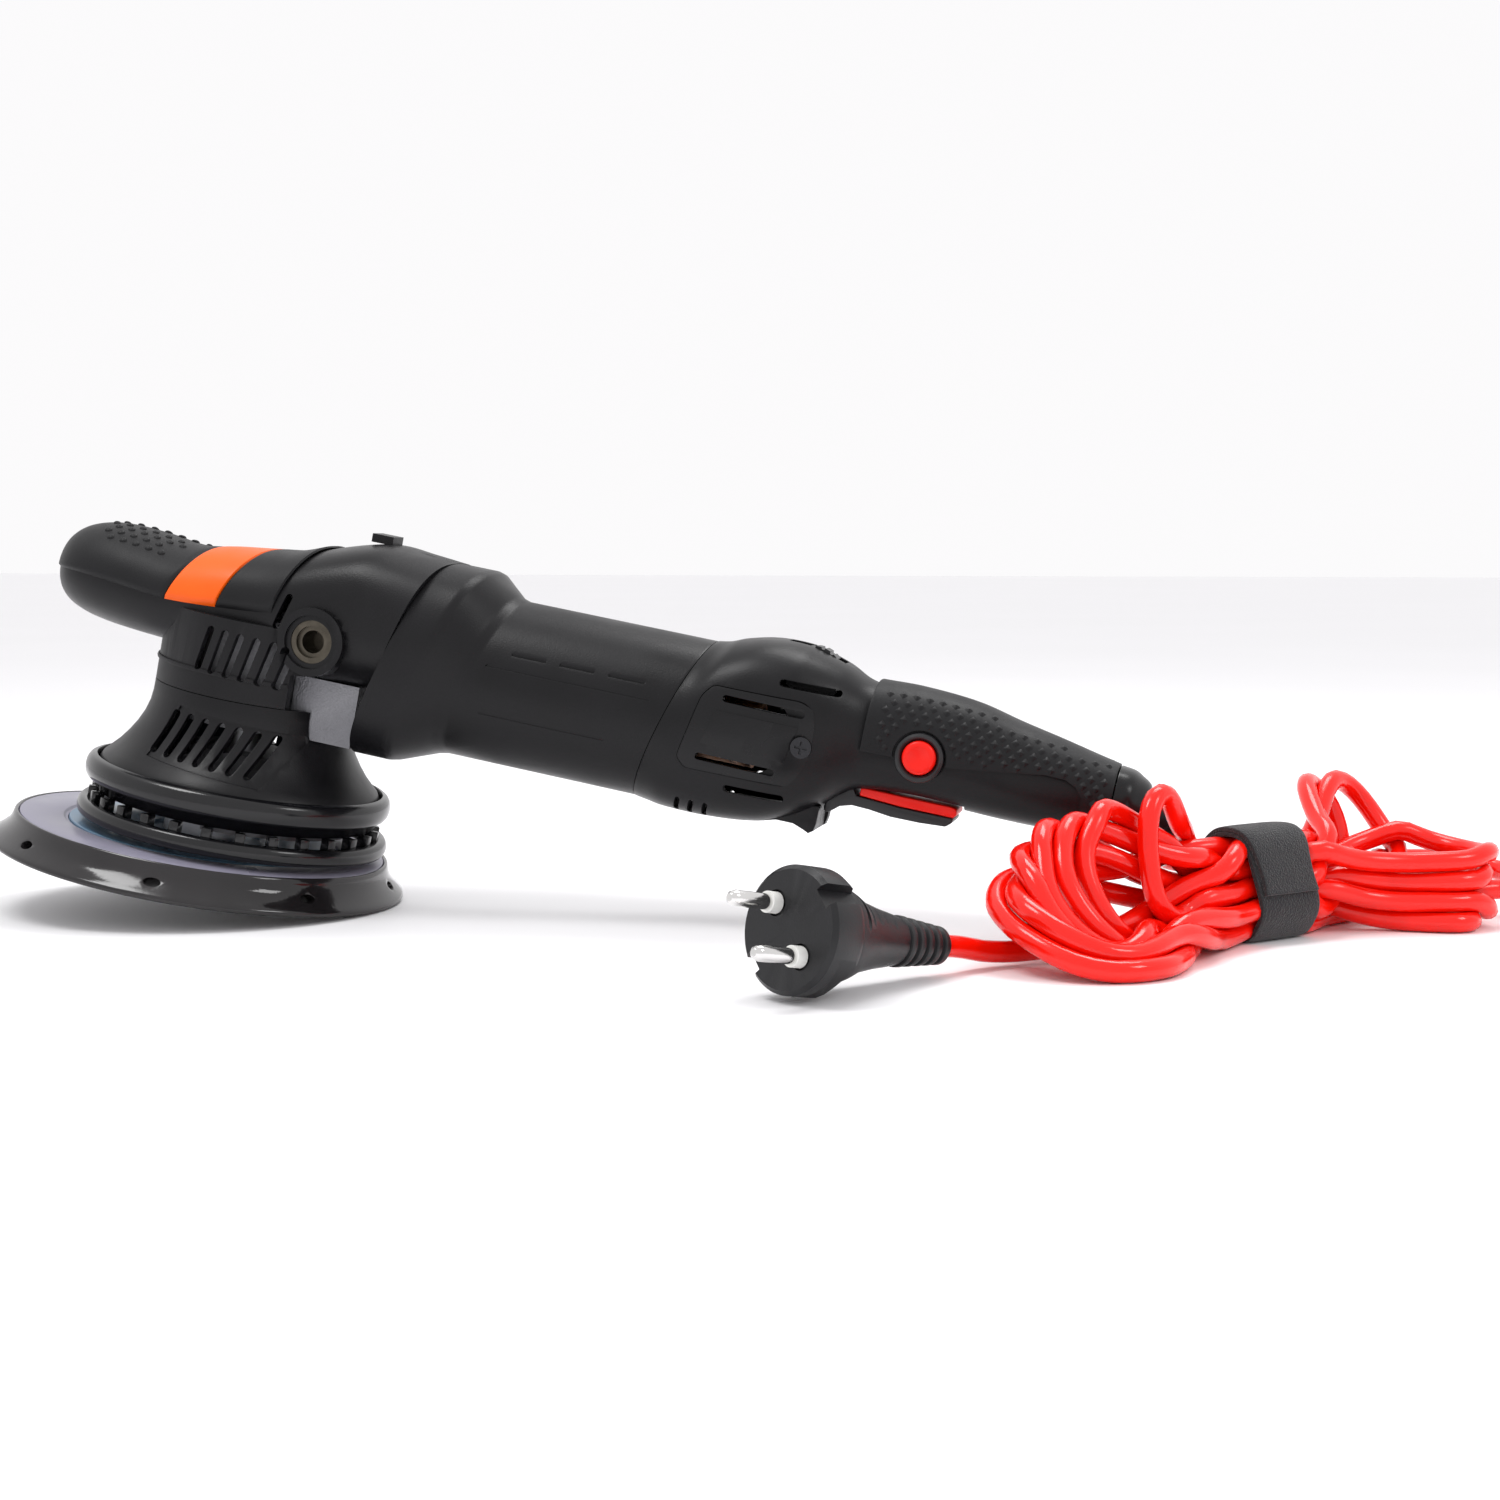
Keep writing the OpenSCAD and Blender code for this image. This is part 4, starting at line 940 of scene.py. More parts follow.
    def build(self, plug_pieces: Sequence[bpy.types.Object]) -> None:
        """Args:
            plug_pieces: The pieces on the cord's far end; not used.
        """
        line = self.route()
        data = bpy.data.curves.new("supply_cord", "CURVE")
        data.dimensions = "3D"
        data.bevel_depth = self.diameter / 2 * MM
        data.bevel_resolution = 4
        data.use_fill_caps = True
        spline = data.splines.new("POLY")
        spline.points.add(len(line) - 1)
        for point, place in zip(spline.points, line):
            point.co = (*place, 1)
        spline.use_smooth = True
        cord = bpy.data.objects.new("supply_cord", data)
        bpy.context.scene.collection.objects.link(cord)
        data.materials.append(CORD.material())
        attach(cord, Body.HOUSING.value)
        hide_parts("cord_lead", "cord_hank", "cord_run")
        start = [float(v) for v in line[0]]
        self._strain_relief()
        self._tie()

    def _strain_relief(self) -> None:
        """The tapered sleeve where the cord leaves the tail, with its relief grooves."""
        offset = np.array([ORIGIN_X, 0, 0])
        path, _ = self._smooth([np.array(p) + np.array(self.tail) - offset for p in self.boot], 0.7)
        count = len(path)

        def surface(u: float, v: float) -> Point:
            """Tube round the path, ribbed along it."""
            f = u * (count - 1)
            i = min(int(f), count - 2)
            here = path[i] + (path[i + 1] - path[i]) * (f - i)
            ahead = Vector(path[min(i + 2, count - 1)] - path[max(i - 1, 0)]).normalized()
            side = Vector((0, 0, 1)).cross(ahead).normalized()
            up = ahead.cross(side)
            taper = 5.6 - 1.3 * u
            rib = 0.42 if 0.12 < u < 0.94 and math.sin(u * 2 * math.pi * 6.5) < -0.2 else 0.0
            end = 1.2 * max(0.0, (u - 0.96) / 0.04) ** 2
            a = 2 * math.pi * v
            out = (side * math.cos(a) + up * math.sin(a)) * (taper - rib - end)
            return tuple(here + np.array(out))

        sleeve = Workpiece.wrapped("strain_relief_sleeve", 24, 72, surface)
        sleeve.finish(SOFT, Body.HOUSING, "soft_black", ("strain_relief",), FLOOR, smooth=50)

    def _tie(self) -> None:
        """The hook-and-loop tie, wrapped round the strands with its end lapped on top."""
        slots = np.array(self.slots())
        reach = self.diameter / 2 + 0.35
        rim = []
        for k in range(720):
            a = math.radians(k / 2)
            n = np.array([math.cos(a), math.sin(a)])
            rim.append(slots[np.argmax(slots @ n)] + n * reach)
        line = np.array(rim)
        run = distance_along(line)
        even = np.linspace(0, run[-1], 240, endpoint=False)
        line = np.stack([np.interp(even, run, line[:, k]) for k in range(2)], 1)
        middle = line.mean(axis=0)
        soft = sum(np.roll(line, k, axis=0) for k in range(-9, 10)) / 19
        rim_line = middle + (soft - middle) * 1.035
        rim_line = np.vstack([rim_line, rim_line[:1]])
        run = distance_along(rim_line)
        around, thick, width = run[-1], 1.5, self.tie_width

        def place(share: float, across: float, lift: float) -> Point:
            """A point of the band: share of the way round, across its width and outwards."""
            s = (share % 1.0) * around
            y, z = (float(np.interp(s, run, rim_line[:, k])) for k in range(2))
            y2, z2 = (float(np.interp((s + 0.6) % around, run, rim_line[:, k])) for k in range(2))
            tangent = Vector((y2 - y, z2 - z)).normalized()
            out = Vector((tangent.y, -tangent.x))
            pinch = 0.35 * (2 * across / width) ** 4
            y += out.x * (lift - pinch)
            z += out.y * (lift - pinch)
            return tuple(self._laid(across, y, max(z, 0.15)))

        def band(first: float, last: float, base: Callable[[float], float], name: str,
                 narrow: float) -> Workpiece:
            """One length of the tape from one share to another."""
            def surface(u: float, v: float) -> Point:
                """Closed flat section swept round the strands."""
                share = first + (last - first) * u
                corner = v * 4 % 4
                half = (width - narrow) / 2 - (0.9 * math.sin(u * 9) if narrow else 0)
                t = thick / 2
                if corner < 1.7:
                    across, lift = -half + 2 * half * corner / 1.7, t
                elif corner < 2:
                    across, lift = half, t - 2 * t * (corner - 1.7) / 0.3
                elif corner < 3.7:
                    across, lift = half - 2 * half * (corner - 2) / 1.7, -t
                else:
                    across, lift = -half, -t + 2 * t * (corner - 3.7) / 0.3
                return place(share, across, base(u) + lift)

            return Workpiece.wrapped(name, 40, 150 if last - first > 0.6 else 60, surface)

        main = band(0.30, 1.31, lambda u: 0.8, "cord_tie_band", 0.0)
        lap = band(0.10, 0.56, lambda u: 2.45 + 0.5 * max(0.0, 0.08 - u) / 0.08, "cord_tie_lap", 1.6)
        main.join(lap)
        main.soften(0.3, 2, 50)
        main.finish(TAPE, Body.HOUSING, "tie_black", ("cord_tie",), FLOOR, smooth=45)


@dataclass
class Plug:
    """The moulded two-pin plug lying in front of the hank. Its own frame has +Z along the pins."""

    rear: Point = (277.0, -98.0, 9.5)
    angle: float = 56.3
    roll: float = 41.0
    lean: float = 10.4
    radius: float = 19.0
    boot: float = 22.0
    length: float = 66.0
    face: float = 14.0
    pin_offset: float = 9.5

    def lay(self) -> Matrix:
        """Matrix from the plug's frame to the row frame."""
        place = Matrix.Translation((self.rear[0] - ORIGIN_X, self.rear[1], self.rear[2]))
        turn = (Matrix.Rotation(math.radians(self.angle + 180), 4, "Z")
                @ Matrix.Rotation(math.radians(90 - self.lean), 4, "Y")
                @ Matrix.Rotation(math.radians(self.roll), 4, "Z"))
        return FLOOR @ place @ turn

    def build(self) -> list[bpy.types.Object]:
        """Makes the plug.

        Returns:
            Its pieces, which go with the cord.
        """
        z0 = self.length - self.face
        disc = Workpiece.turned("plug_moulding", [
            (0, z0 - 0.5), (self.radius - 3.5, z0 - 0.5), (self.radius - 1, z0 + 1),
            (self.radius, z0 + 3), (self.radius, self.length - 1.4),
            (self.radius - 1.4, self.length), (0, self.length)], steps=96)
        for s in (-1, 1):
            near, far = sorted((s * 15.4, s * 24))
            disc.cut(Workpiece.block("notch", (-3.3, near, z0 - 2), (3.3, far, self.length + 2)))
            near, far = sorted((s * 16.5, s * 30))
            disc.cut(Workpiece.block("flat", (near, -30, z0 - 2), (far, 30, self.length - 5)))
            x = s * self.pin_offset
            disc.cut(Workpiece.rod("socket", (x, 0, self.length - 2.4), (x, 0, self.length + 2), 3.9, 32))
        grip = Workpiece.turned("plug_grip", [
            (0, self.boot - 1), (7.4, self.boot - 1), (8.2, self.boot + 3), (9.2, self.boot + 9),
            (11, self.boot + 17), (13.6, self.boot + 23), (15, self.boot + 27), (15.2, z0 + 1),
            (0, z0 + 1)], steps=64)
        for k in range(5):
            z = self.boot + 6 + 4.4 * k
            for s in (-1, 1):
                y = s * (9.6 + 0.9 * k)
                grip.cut(Workpiece.rod("finger_groove", (-14, y, z), (14, y, z), 1.25, 16))
        disc.add(grip)
        disc.soften(0.55, 3, 40)
        body = disc.finish(PLUG, Body.HOUSING, "plug_black", ("plug_body",), self.lay())
        ribs = [(3.55, -0.5), (4.9, -0.5)]
        for k in range(5):
            z, r = 0.6 + 4.3 * k, 4.9 + 0.45 * k
            ribs += [(r, z), (r + 1.1, z + 0.35), (r + 1.2, z + 2.5), (r + 0.1, z + 2.9)]
        ribs += [(7.2, self.boot + 0.4), (3.55, self.boot + 0.4)]
        boot = Workpiece.turned("plug_bend_relief", ribs, steps=48)
        boot.soften(0.25, 2, 40)
        relief = boot.finish(PLUG, Body.HOUSING, "plug_black", ("plug_boot",), self.lay())
        pins = []
        for s in (-1, 1):
            z = self.length - 7.9
            pin = Workpiece.turned(f"plug_pin_{'ab'[s > 0]}", [
                (0, z), (2, z), (2, z + 11.9), (2.4, z + 12.1), (2.4, z + 24.4), (1.9, z + 26.1),
                (1.2, z + 26.8), (0, z + 26.9)], centre=(s * self.pin_offset, 0, 0), steps=32)
            pins.append(pin)
        pins[0].join(pins[1])
        pins[0].obj.name = "plug_contact_pins"
        metal = pins[0].finish(NICKEL, Body.HOUSING, "pin_nickel", ("plug_pins",), self.lay())
        sleeves = frame["nodes"]["plug_sleeves"]
        return [body, relief, metal, sleeves]


# ---------------------------------------------------------------------------------------------
# Head
# ---------------------------------------------------------------------------------------------


def tube_of(name: str, hull: Hull, first: float, last: float, grow: float = 0.0, along: int = 60,
            across: int = 72, ease: float = 1.0) -> Workpiece:
    """A solid wrapped over a hull from one station place to another.

    Args:
        name: Name of the piece.
        hull: The casing surface.
        first: Where it starts along the axis.
        last: Where it ends.
        grow: How far outside the surface.
        along: Faces along the axis.
        across: Faces round it.
        ease: Above 1, the rings crowd towards the start.

    Returns:
        The closed solid.
    """
    def surface(u: float, v: float) -> Point:
        """Round the hull, from underneath."""
        return hull.point(first + (last - first) * u**ease, 360 * v - 90, grow)

    return Workpiece.wrapped(name, across, along, surface)


@dataclass
class Head:
    """Right-angle head: two casing shells, and the palm grip with its band over them."""

    wall: float = 2.6
    neck_r: float = 35.5
    neck_foot: float = 67.0
    boss: Flat = (31.0, 93.0)
    boss_r: float = 12.0
    seam_x: float = 56.3
    skin: float = 1.6
    lean: float = 7.6
    band: Flat = (-27.7, -7.6)
    palm_end: float = 13.0
    hull: Hull = Hull((
        Station(-79.6, 98.4, 2, 2), Station(-78.5, 98.5, 8.5, 7.6), Station(-75.5, 98.7, 14.5, 11.9),
        Station(-69.5, 98.9, 20, 15.2), Station(-60, 98.8, 23.8, 17.2, 2.1),
        Station(-46, 97.9, 26.3, 17.6, 2.2), Station(-30, 96.6, 28, 17.2, 2.3),
        Station(-14, 97.2, 29.8, 19, 2.4), Station(0, 98.3, 31, 19.9, 2.5, 0.03),
        Station(10, 99.4, 31.5, 20.8, 2.55, 0.08), Station(22, 101.8, 31.8, 24.2, 2.6, 0.17),
        Station(33, 103.2, 32.2, 26.4, 2.7, 0.25), Station(44, 103.3, 33, 25.4, 2.8, SLOPE),
        Station(56.3, 103, 34, 24.6, 2.8, SLOPE)))

    def _casing(self) -> Workpiece:
        """The whole casing, hollow, with its slots, before it is split."""
        x, z = self.boss
        shell = tube_of("head_casing", self.hull, -79.6, self.seam_x, ease=1.4, along=96)
        shell.add(Workpiece.rod("neck", (0, 0, self.neck_foot), (0, 0, 95), self.neck_r, 120))
        shell.add(Workpiece.turned("neck_line", [
            (34, 74.2), (36.1, 74.5), (36.3, 75.2), (36.1, 75.9), (34, 76.2)]))
        for s in (-1, 1):
            shell.add(Workpiece.rod("boss", (x, s * 24, z), (x, s * 34.6, z), self.boss_r, 64))
        inner = tube_of("hollow", self.hull, -76, self.seam_x + 3, grow=-self.wall, ease=1.3, along=72)
        inner.add(Workpiece.rod("neck_room", (0, 0, 60), (0, 0, 93), self.neck_r - self.wall, 96))
        for s in (-1, 1):
            inner.cut(Workpiece.rod("boss_body", (x, s * 20, z), (x, s * 34, z), self.boss_r - 0.5, 48))
        shell.cut(inner)
        for s in (-1, 1):
            shell.cut(Workpiece.rod("insert_hole", (x, s * 10, z), (x, s * 40, z), 7.55, 64))
            shell.cut(Workpiece.rod("boss_step", (x, s * 33.4, z), (x, s * 40, z), 9.4, 64))
        shell.cut(Workpiece.block("gear_window", (23, -60, 57), (82, 60, 79.4)))
        for k in range(6):
            shell.cut(capsule("vent", -7 + k * 5.6, 83.4 - k * 0.4, 16.5, 2.7, 78, -60, 60))
        shell.cut(capsule("high_vent", 18, 101.2, 13.5, 2.5, 73, -60, 60))
        return shell

    def _shells(self) -> None:
        """The two casing halves."""
        whole = self._casing()
        for side, node in ((Side.LEFT, "head_shell_left"), (Side.RIGHT, "head_shell_right")):
            half = whole.copy(node.replace("head_shell", "head_casing")).halve(side)
            half.soften(0.55, 3, 38)
            half.finish(CASING, Body.HOUSING, "casing_black", (node,), smooth=40)
        bpy.data.objects.remove(whole.obj)

    def _skin(self, name: str, first: float, last: float, lean_first: float, lean_last: float,
              along: int) -> Workpiece:
        """A moulded skin over the top half of the casing, between two leaning edges."""
        def surface(u: float, v: float) -> Point:
            """Outer face one way and inner face back, rounded at the lower edges."""
            outer = v < 0.5
            share = v * 2 if outer else 2 - v * 2
            angle = 180 * share
            edge = max(0.0, 1 - min(share, 1 - share) / 0.035)
            end = max(0.0, 1 - min(u - (0 if lean_first else -1), 1 - u) / 0.03)
            drop = 0.75 * max(edge, end) ** 2
            x = first + (last - first) * (u if lean_first else u**1.4)
            x += (lean_first + (lean_last - lean_first) * u) * math.sin(math.radians(angle))
            return self.hull.point(x, angle, self.skin - drop if outer else 0.05)

        return Workpiece.wrapped(name, 120, along, surface)

    def _bumps(self, skin: Workpiece) -> None:
        """Grip bumps over the front of the palm, four rows on each side of the crown."""
        made = []
        for row, angle in enumerate((9, 20, 31, 42)):
            for k in range(6 - row // 2):
                x = -61.5 + 5.3 * k + (2.6 if row % 2 else 0) + row * 0.8
                for side in (-1, 1):
                    place = Vector(self.hull.point(x, 90 + side * angle, self.skin))
                    away = (place - Vector((x, 0, 96))).normalized()
                    clear_selection()
                    bpy.ops.mesh.primitive_uv_sphere_add(segments=16, ring_count=8, radius=1.35)
                    bump = Workpiece(bpy.context.object)
                    turn = away.to_track_quat("Z", "Y").to_matrix().to_4x4()
                    bump.moved(Matrix.Translation(place) @ turn @ Matrix.Diagonal((1, 1, 0.55, 1)))
                    made.append(bump)
        skin.join(*made)

    def build(self) -> None:
        """Makes the head's pieces."""
        self._shells()
        front = self._skin("palm_grip_nose", -79.55, self.band[0] - 0.25, 0, self.lean, 84)
        self._bumps(front)
        front.finish(SOFT, Body.HOUSING, "soft_black", ("palm_grip_front",), smooth=50)
        band = self._skin("palm_orange_band", self.band[0], self.band[1], self.lean, self.lean, 40)
        band.finish(ORANGE, Body.HOUSING, "orange_band", ("palm_band",), smooth=50)
        rear = self._skin("palm_grip_back", self.band[1] + 0.25, self.palm_end, self.lean,
                          self.lean * 0.5, 40)
        rear.finish(SOFT, Body.HOUSING, "soft_black", ("palm_grip_rear",), smooth=50)


@dataclass
class Rings:
    """Shroud, collar and guard ring under the head."""

    neck_r: float = 35.5
    slots: int = 7
    ribs: int = 28
    collar_r: float = 55.0
    collar_z: float = 28.5
    collar_h: float = 7.7
    guard_z: float = 14.8
    guard_h: float = 6.4

    def _flare(self, inset: float) -> list[Flat]:
        """Outer line of the shroud from top to foot."""
        r = self.neck_r - inset
        return [(r, 66.7), (r + 0.1, 62.5), (r + 0.6, 58.5), (r + 1.9, 54.2), (r + 3.9, 50),
                (r + 6.4, 46), (r + 9.2, 42.3), (r + 11.9, 39.5), (r + 14, 37.4), (r + 15, 35.6),
                (r + 15, 33.5)]

    def _shroud(self) -> None:
        """Flared shroud with a recessed panel of slots on each side."""
        r = self.neck_r
        inner = [(r + 11, 33.5), (r + 9.2, 37), (r + 7, 39.5), (r + 4.6, 42.4), (r + 2.4, 45.6),
                 (r + 0.4, 49), (r - 1.3, 53), (r - 2.6, 58), (r - 3, 66.7)]
        shroud = Workpiece.turned("shroud_flare", self._flare(0) + inner, steps=144)
        for s in (-1, 1):
            corners = [(x, s * 20, z) for x, z in ((-13, 61.4), (31.6, 58), (23.8, 39.4), (-19.8, 42.6))]
            panel = Workpiece.outline("panel", corners, (0, s * 60, 0))
            floor = [(0, 66.7)] + self._flare(0.7) + [(0, 33.5)]
            panel.cut(Workpiece.turned("panel_floor", floor, steps=96))
            shroud.cut(panel)
        for k in range(self.slots):
            shroud.cut(capsule("slot", -16 + k * 6.1, 51.8 - k * 0.35, 16.6, 2.9, 73, -60, 60))
        shroud.cut(Workpiece.block("gear_block_room", (21.6, -19.4, 56.6), (80, 19.4, 79.4)))
        shroud.soften(0.45, 2, 38)
        shroud.finish(CASING, Body.HOUSING, "casing_black", ("shroud",), smooth=40)

    def _collar(self) -> None:
        """Thick glossy collar round the shroud's foot."""
        inner, r, z, h = self.neck_r + 15.4, self.collar_r, self.collar_z, self.collar_h
        profile = [(inner, z + 2), (inner - 3, z + 2), (inner - 3, z), (inner - 1, z - 4),
                   (r - 3, z - 1.5)]
        for k in range(9):
            a = math.radians(-80 + 20 * k)
            profile.append((r - 2.4 + 2.4 * math.cos(a), z + h / 2 + (h / 2 + 0.4) * math.sin(a)))
        profile += [(r - 3.4, z + h + 0.7), (inner, z + h - 1)]
        Workpiece.turned("collar", profile, steps=160).finish(
            COLLAR, Body.HOUSING, "collar_black", ("collar_ring",), smooth=50)

    def _guard(self) -> None:
        """Guard ring on ribs, so that the cooling air leaves between them."""
        inner, r, z, h = self.collar_r - 7, self.collar_r, self.guard_z, self.guard_h
        profile = [(inner, z + 1.5), (r - 1.4, z)]
        for k in range(7):
            a = math.radians(-60 + 20 * k)
            profile.append((r - 1.2 + 2.2 * math.cos(a), z + h / 2 + (h / 2) * math.sin(a)))
        profile += [(r - 2, z + h), (inner, z + h - 2)]
        ring = Workpiece.turned("guard", profile, steps=160)
        rib = Workpiece.block("rib", (inner + 0.3, -1.7, z + h - 2.6),
                              (inner + 4.6, 1.7, self.collar_z - 4.2))
        rib.soften(0.3, 2, 40)
        ribs = [rib.copy("rib").moved(Matrix.Rotation(2 * math.pi * k / self.ribs, 4, "Z"))
                for k in range(1, self.ribs)]
        ring.join(rib, *ribs)
        ring.finish(COLLAR, Body.HOUSING, "collar_black", ("guard_ring",), smooth=50)

    def build(self) -> None:
        """Makes the rings."""
        self._shroud()
        self._collar()
        self._guard()


@dataclass
class Pad:
    """Backing plate, smoky skirt and hook face, on the eccentric."""

    centre_x: float = -10.5
    radius: float = 75.0
    top_r: float = 67.0
    height: float = 12.0
    holes: int = 8

    def build(self) -> None:
        """Makes the pad's pieces."""
        at = (self.centre_x, 0, 0)
        r, h = self.top_r, self.height
        disc = Workpiece.turned("plate_disc", [
            (4.2, 5), (17, 5), (24, 8), (48.4, 8), (48.4, h - 0.3), (48, h), (22, h), (21, h - 1.2),
            (9, h - 1.2), (8, h), (4.2, h)], at, steps=144)
        disc.soften(0.3, 2, 30)
        disc.finish(PLATE, Body.PAD, "plate_blue", ("backing_plate",), smooth=40)
        # The outer ring takes the paler lavender-grey finish, a painted reflection of the bright surround
        # on the plate's glossy top.
        rim = Workpiece.turned("plate_rim_ring", [
            (48.6, 8), (r - 4, 8), (r - 1.2, h - 1.5), (r - 1.2, h - 0.2), (r - 1.6, h), (50.4, h),
            (49.6, h - 0.8), (48.6, h - 0.8)], at, steps=144)
        rim.soften(0.25, 2, 30)
        rim.finish(PLATE_RIM_PAINTED_REFLECTION, Body.PAD, "plate_blue", smooth=40)
        self._skirt(at)
        self._hooks(at)

    def _skirt(self, at: Point) -> None:
        """Conical skirt with a rolled rim and a ring of oval holes."""
        r, big, h = self.top_r, self.radius, self.height
        skirt = Workpiece.turned("skirt", [
            (10, 1.5), (big - 3, 1.5), (big - 3, 0.1), (big - 0.9, 0.1), (big - 0.3, 0.35), (big, 0.9),
            (big - 0.1, 1.6), (big - 0.7, 2.3), (big - 2, 3.2), (big - 3.6, 4.7), (r + 2.6, 6.4),
            (r + 1.5, 8.2), (r + 0.8, h - 1.8), (r + 0.5, h - 0.5), (r, h), (r - 0.6, h),
            (r - 1, h - 0.4), (r - 1, h - 1.7), (r - 4, 7.8), (24.2, 7.8), (17, 4.8), (10, 4.8)],
            at, steps=192)
        for k in range(self.holes):
            a = 2 * math.pi * k / self.holes + math.radians(11)
            hole = Workpiece.rod("hole", (big - 9, 0, 5.2), (big + 6, 0, 8.2), 1, 32)
            hole.moved(Matrix.Translation((0, 0, 6.0)) @ Matrix.Diagonal((1, 3.1, 1.75, 1))
                       @ Matrix.Translation((0, 0, -6.3)))
            hole.moved(Matrix.Translation(at) @ Matrix.Rotation(a, 4, "Z"))
            skirt.cut(hole)
        skirt.soften(0.2, 2, 45)
        skirt.finish(SKIRT, Body.PAD, "skirt_smoke", ("pad_skirt",), smooth=40)

    def _hooks(self, at: Point) -> None:
        """Hook face: a thin disc with a fringe of short bristles round its rim."""
        big = self.radius
        face = Workpiece.turned("hook_fabric", [
            (10, -0.75), (big - 4.2, -0.75), (big - 4, -0.4), (big - 4, 1.5), (10, 1.5)], at, steps=144)
        bristle = Workpiece.rod("bristle", (big - 4.6, 0, -0.85), (big - 4.3, 0, 0.6), 0.14, 5)
        count = 420
        fringe = [bristle.copy("bristle").moved(Matrix.Translation(at) @ Matrix.Rotation(
            2 * math.pi * k / count, 4, "Z") @ Matrix.Translation((-(k * 7 % 5) * 0.55, 0, 0)))
            for k in range(count)]
        bpy.data.objects.remove(bristle.obj)
        face.join(*fringe)
        face.finish(HOOKS, Body.PAD, "hook_black", ("hook_face",), smooth=40)


# ---------------------------------------------------------------------------------------------
# Motor barrel, rear body and handle
# ---------------------------------------------------------------------------------------------


@dataclass
class MotorBody:
    """The motor barrel with its leaning front flange and moulded lines."""

    radius: float = 29.3
    first: float = 56.5
    last: float = 156.7
    hull: Hull = Hull((
        Station(56.5, 91, 34, 36.5, 2.7, SLOPE), Station(69, 91, 34, 36.5, 2.7, SLOPE),
        Station(71.5, 90.95, 33.6, 35.9, 2.65, SLOPE), Station(83, 90.1, 29.9, 30.1, 2.1, SLOPE),
        Station(86.5, 90, 29.3, 29.3, 2, SLOPE), Station(156.7, 90, 29.3, 29.3, 2, SLOPE)), crisp=True)

    def _side_y(self, z: float) -> float:
        """Distance of the barrel's skin from the seam plane at a height."""
        return math.sqrt(self.radius**2 - (z - AXIS_Z) ** 2)

    def build(self) -> None:
        """Makes the barrel."""
        tube = tube_of("motor_barrel", self.hull, self.first, self.last, along=120, across=112)
        tube.cut(Workpiece.rod("bore", (20, 0, AXIS_Z), (190, 0, AXIS_Z), 26.5, 96))
        tube.cut(Workpiece.rod("flange_bore", (20, 0, AXIS_Z), (66, 0, AXIS_Z), 30, 96))
        for s in (-1, 1):
            for x0, x1, z, tall, deep in ((101, 113.5, 102.5, 0.9, 0.6), (118.4, 131, 102.5, 0.9, 0.6),
                                          (136, 149, 102.5, 0.9, 0.6), (93, 152, 97.2, 0.35, 0.3),
                                          (93, 138.5, 80.4, 0.35, 0.3)):
                y = self._side_y(z)
                low, high = sorted((s * (y - deep), s * (y + 6)))
                tube.cut(Workpiece.block("line", (x0, low, z - tall / 2), (x1, high, z + tall / 2)))
        tube.soften(0.35, 2, 30)
        tube.finish(CASING, Body.HOUSING, "casing_black", ("motor_housing",), smooth=28)


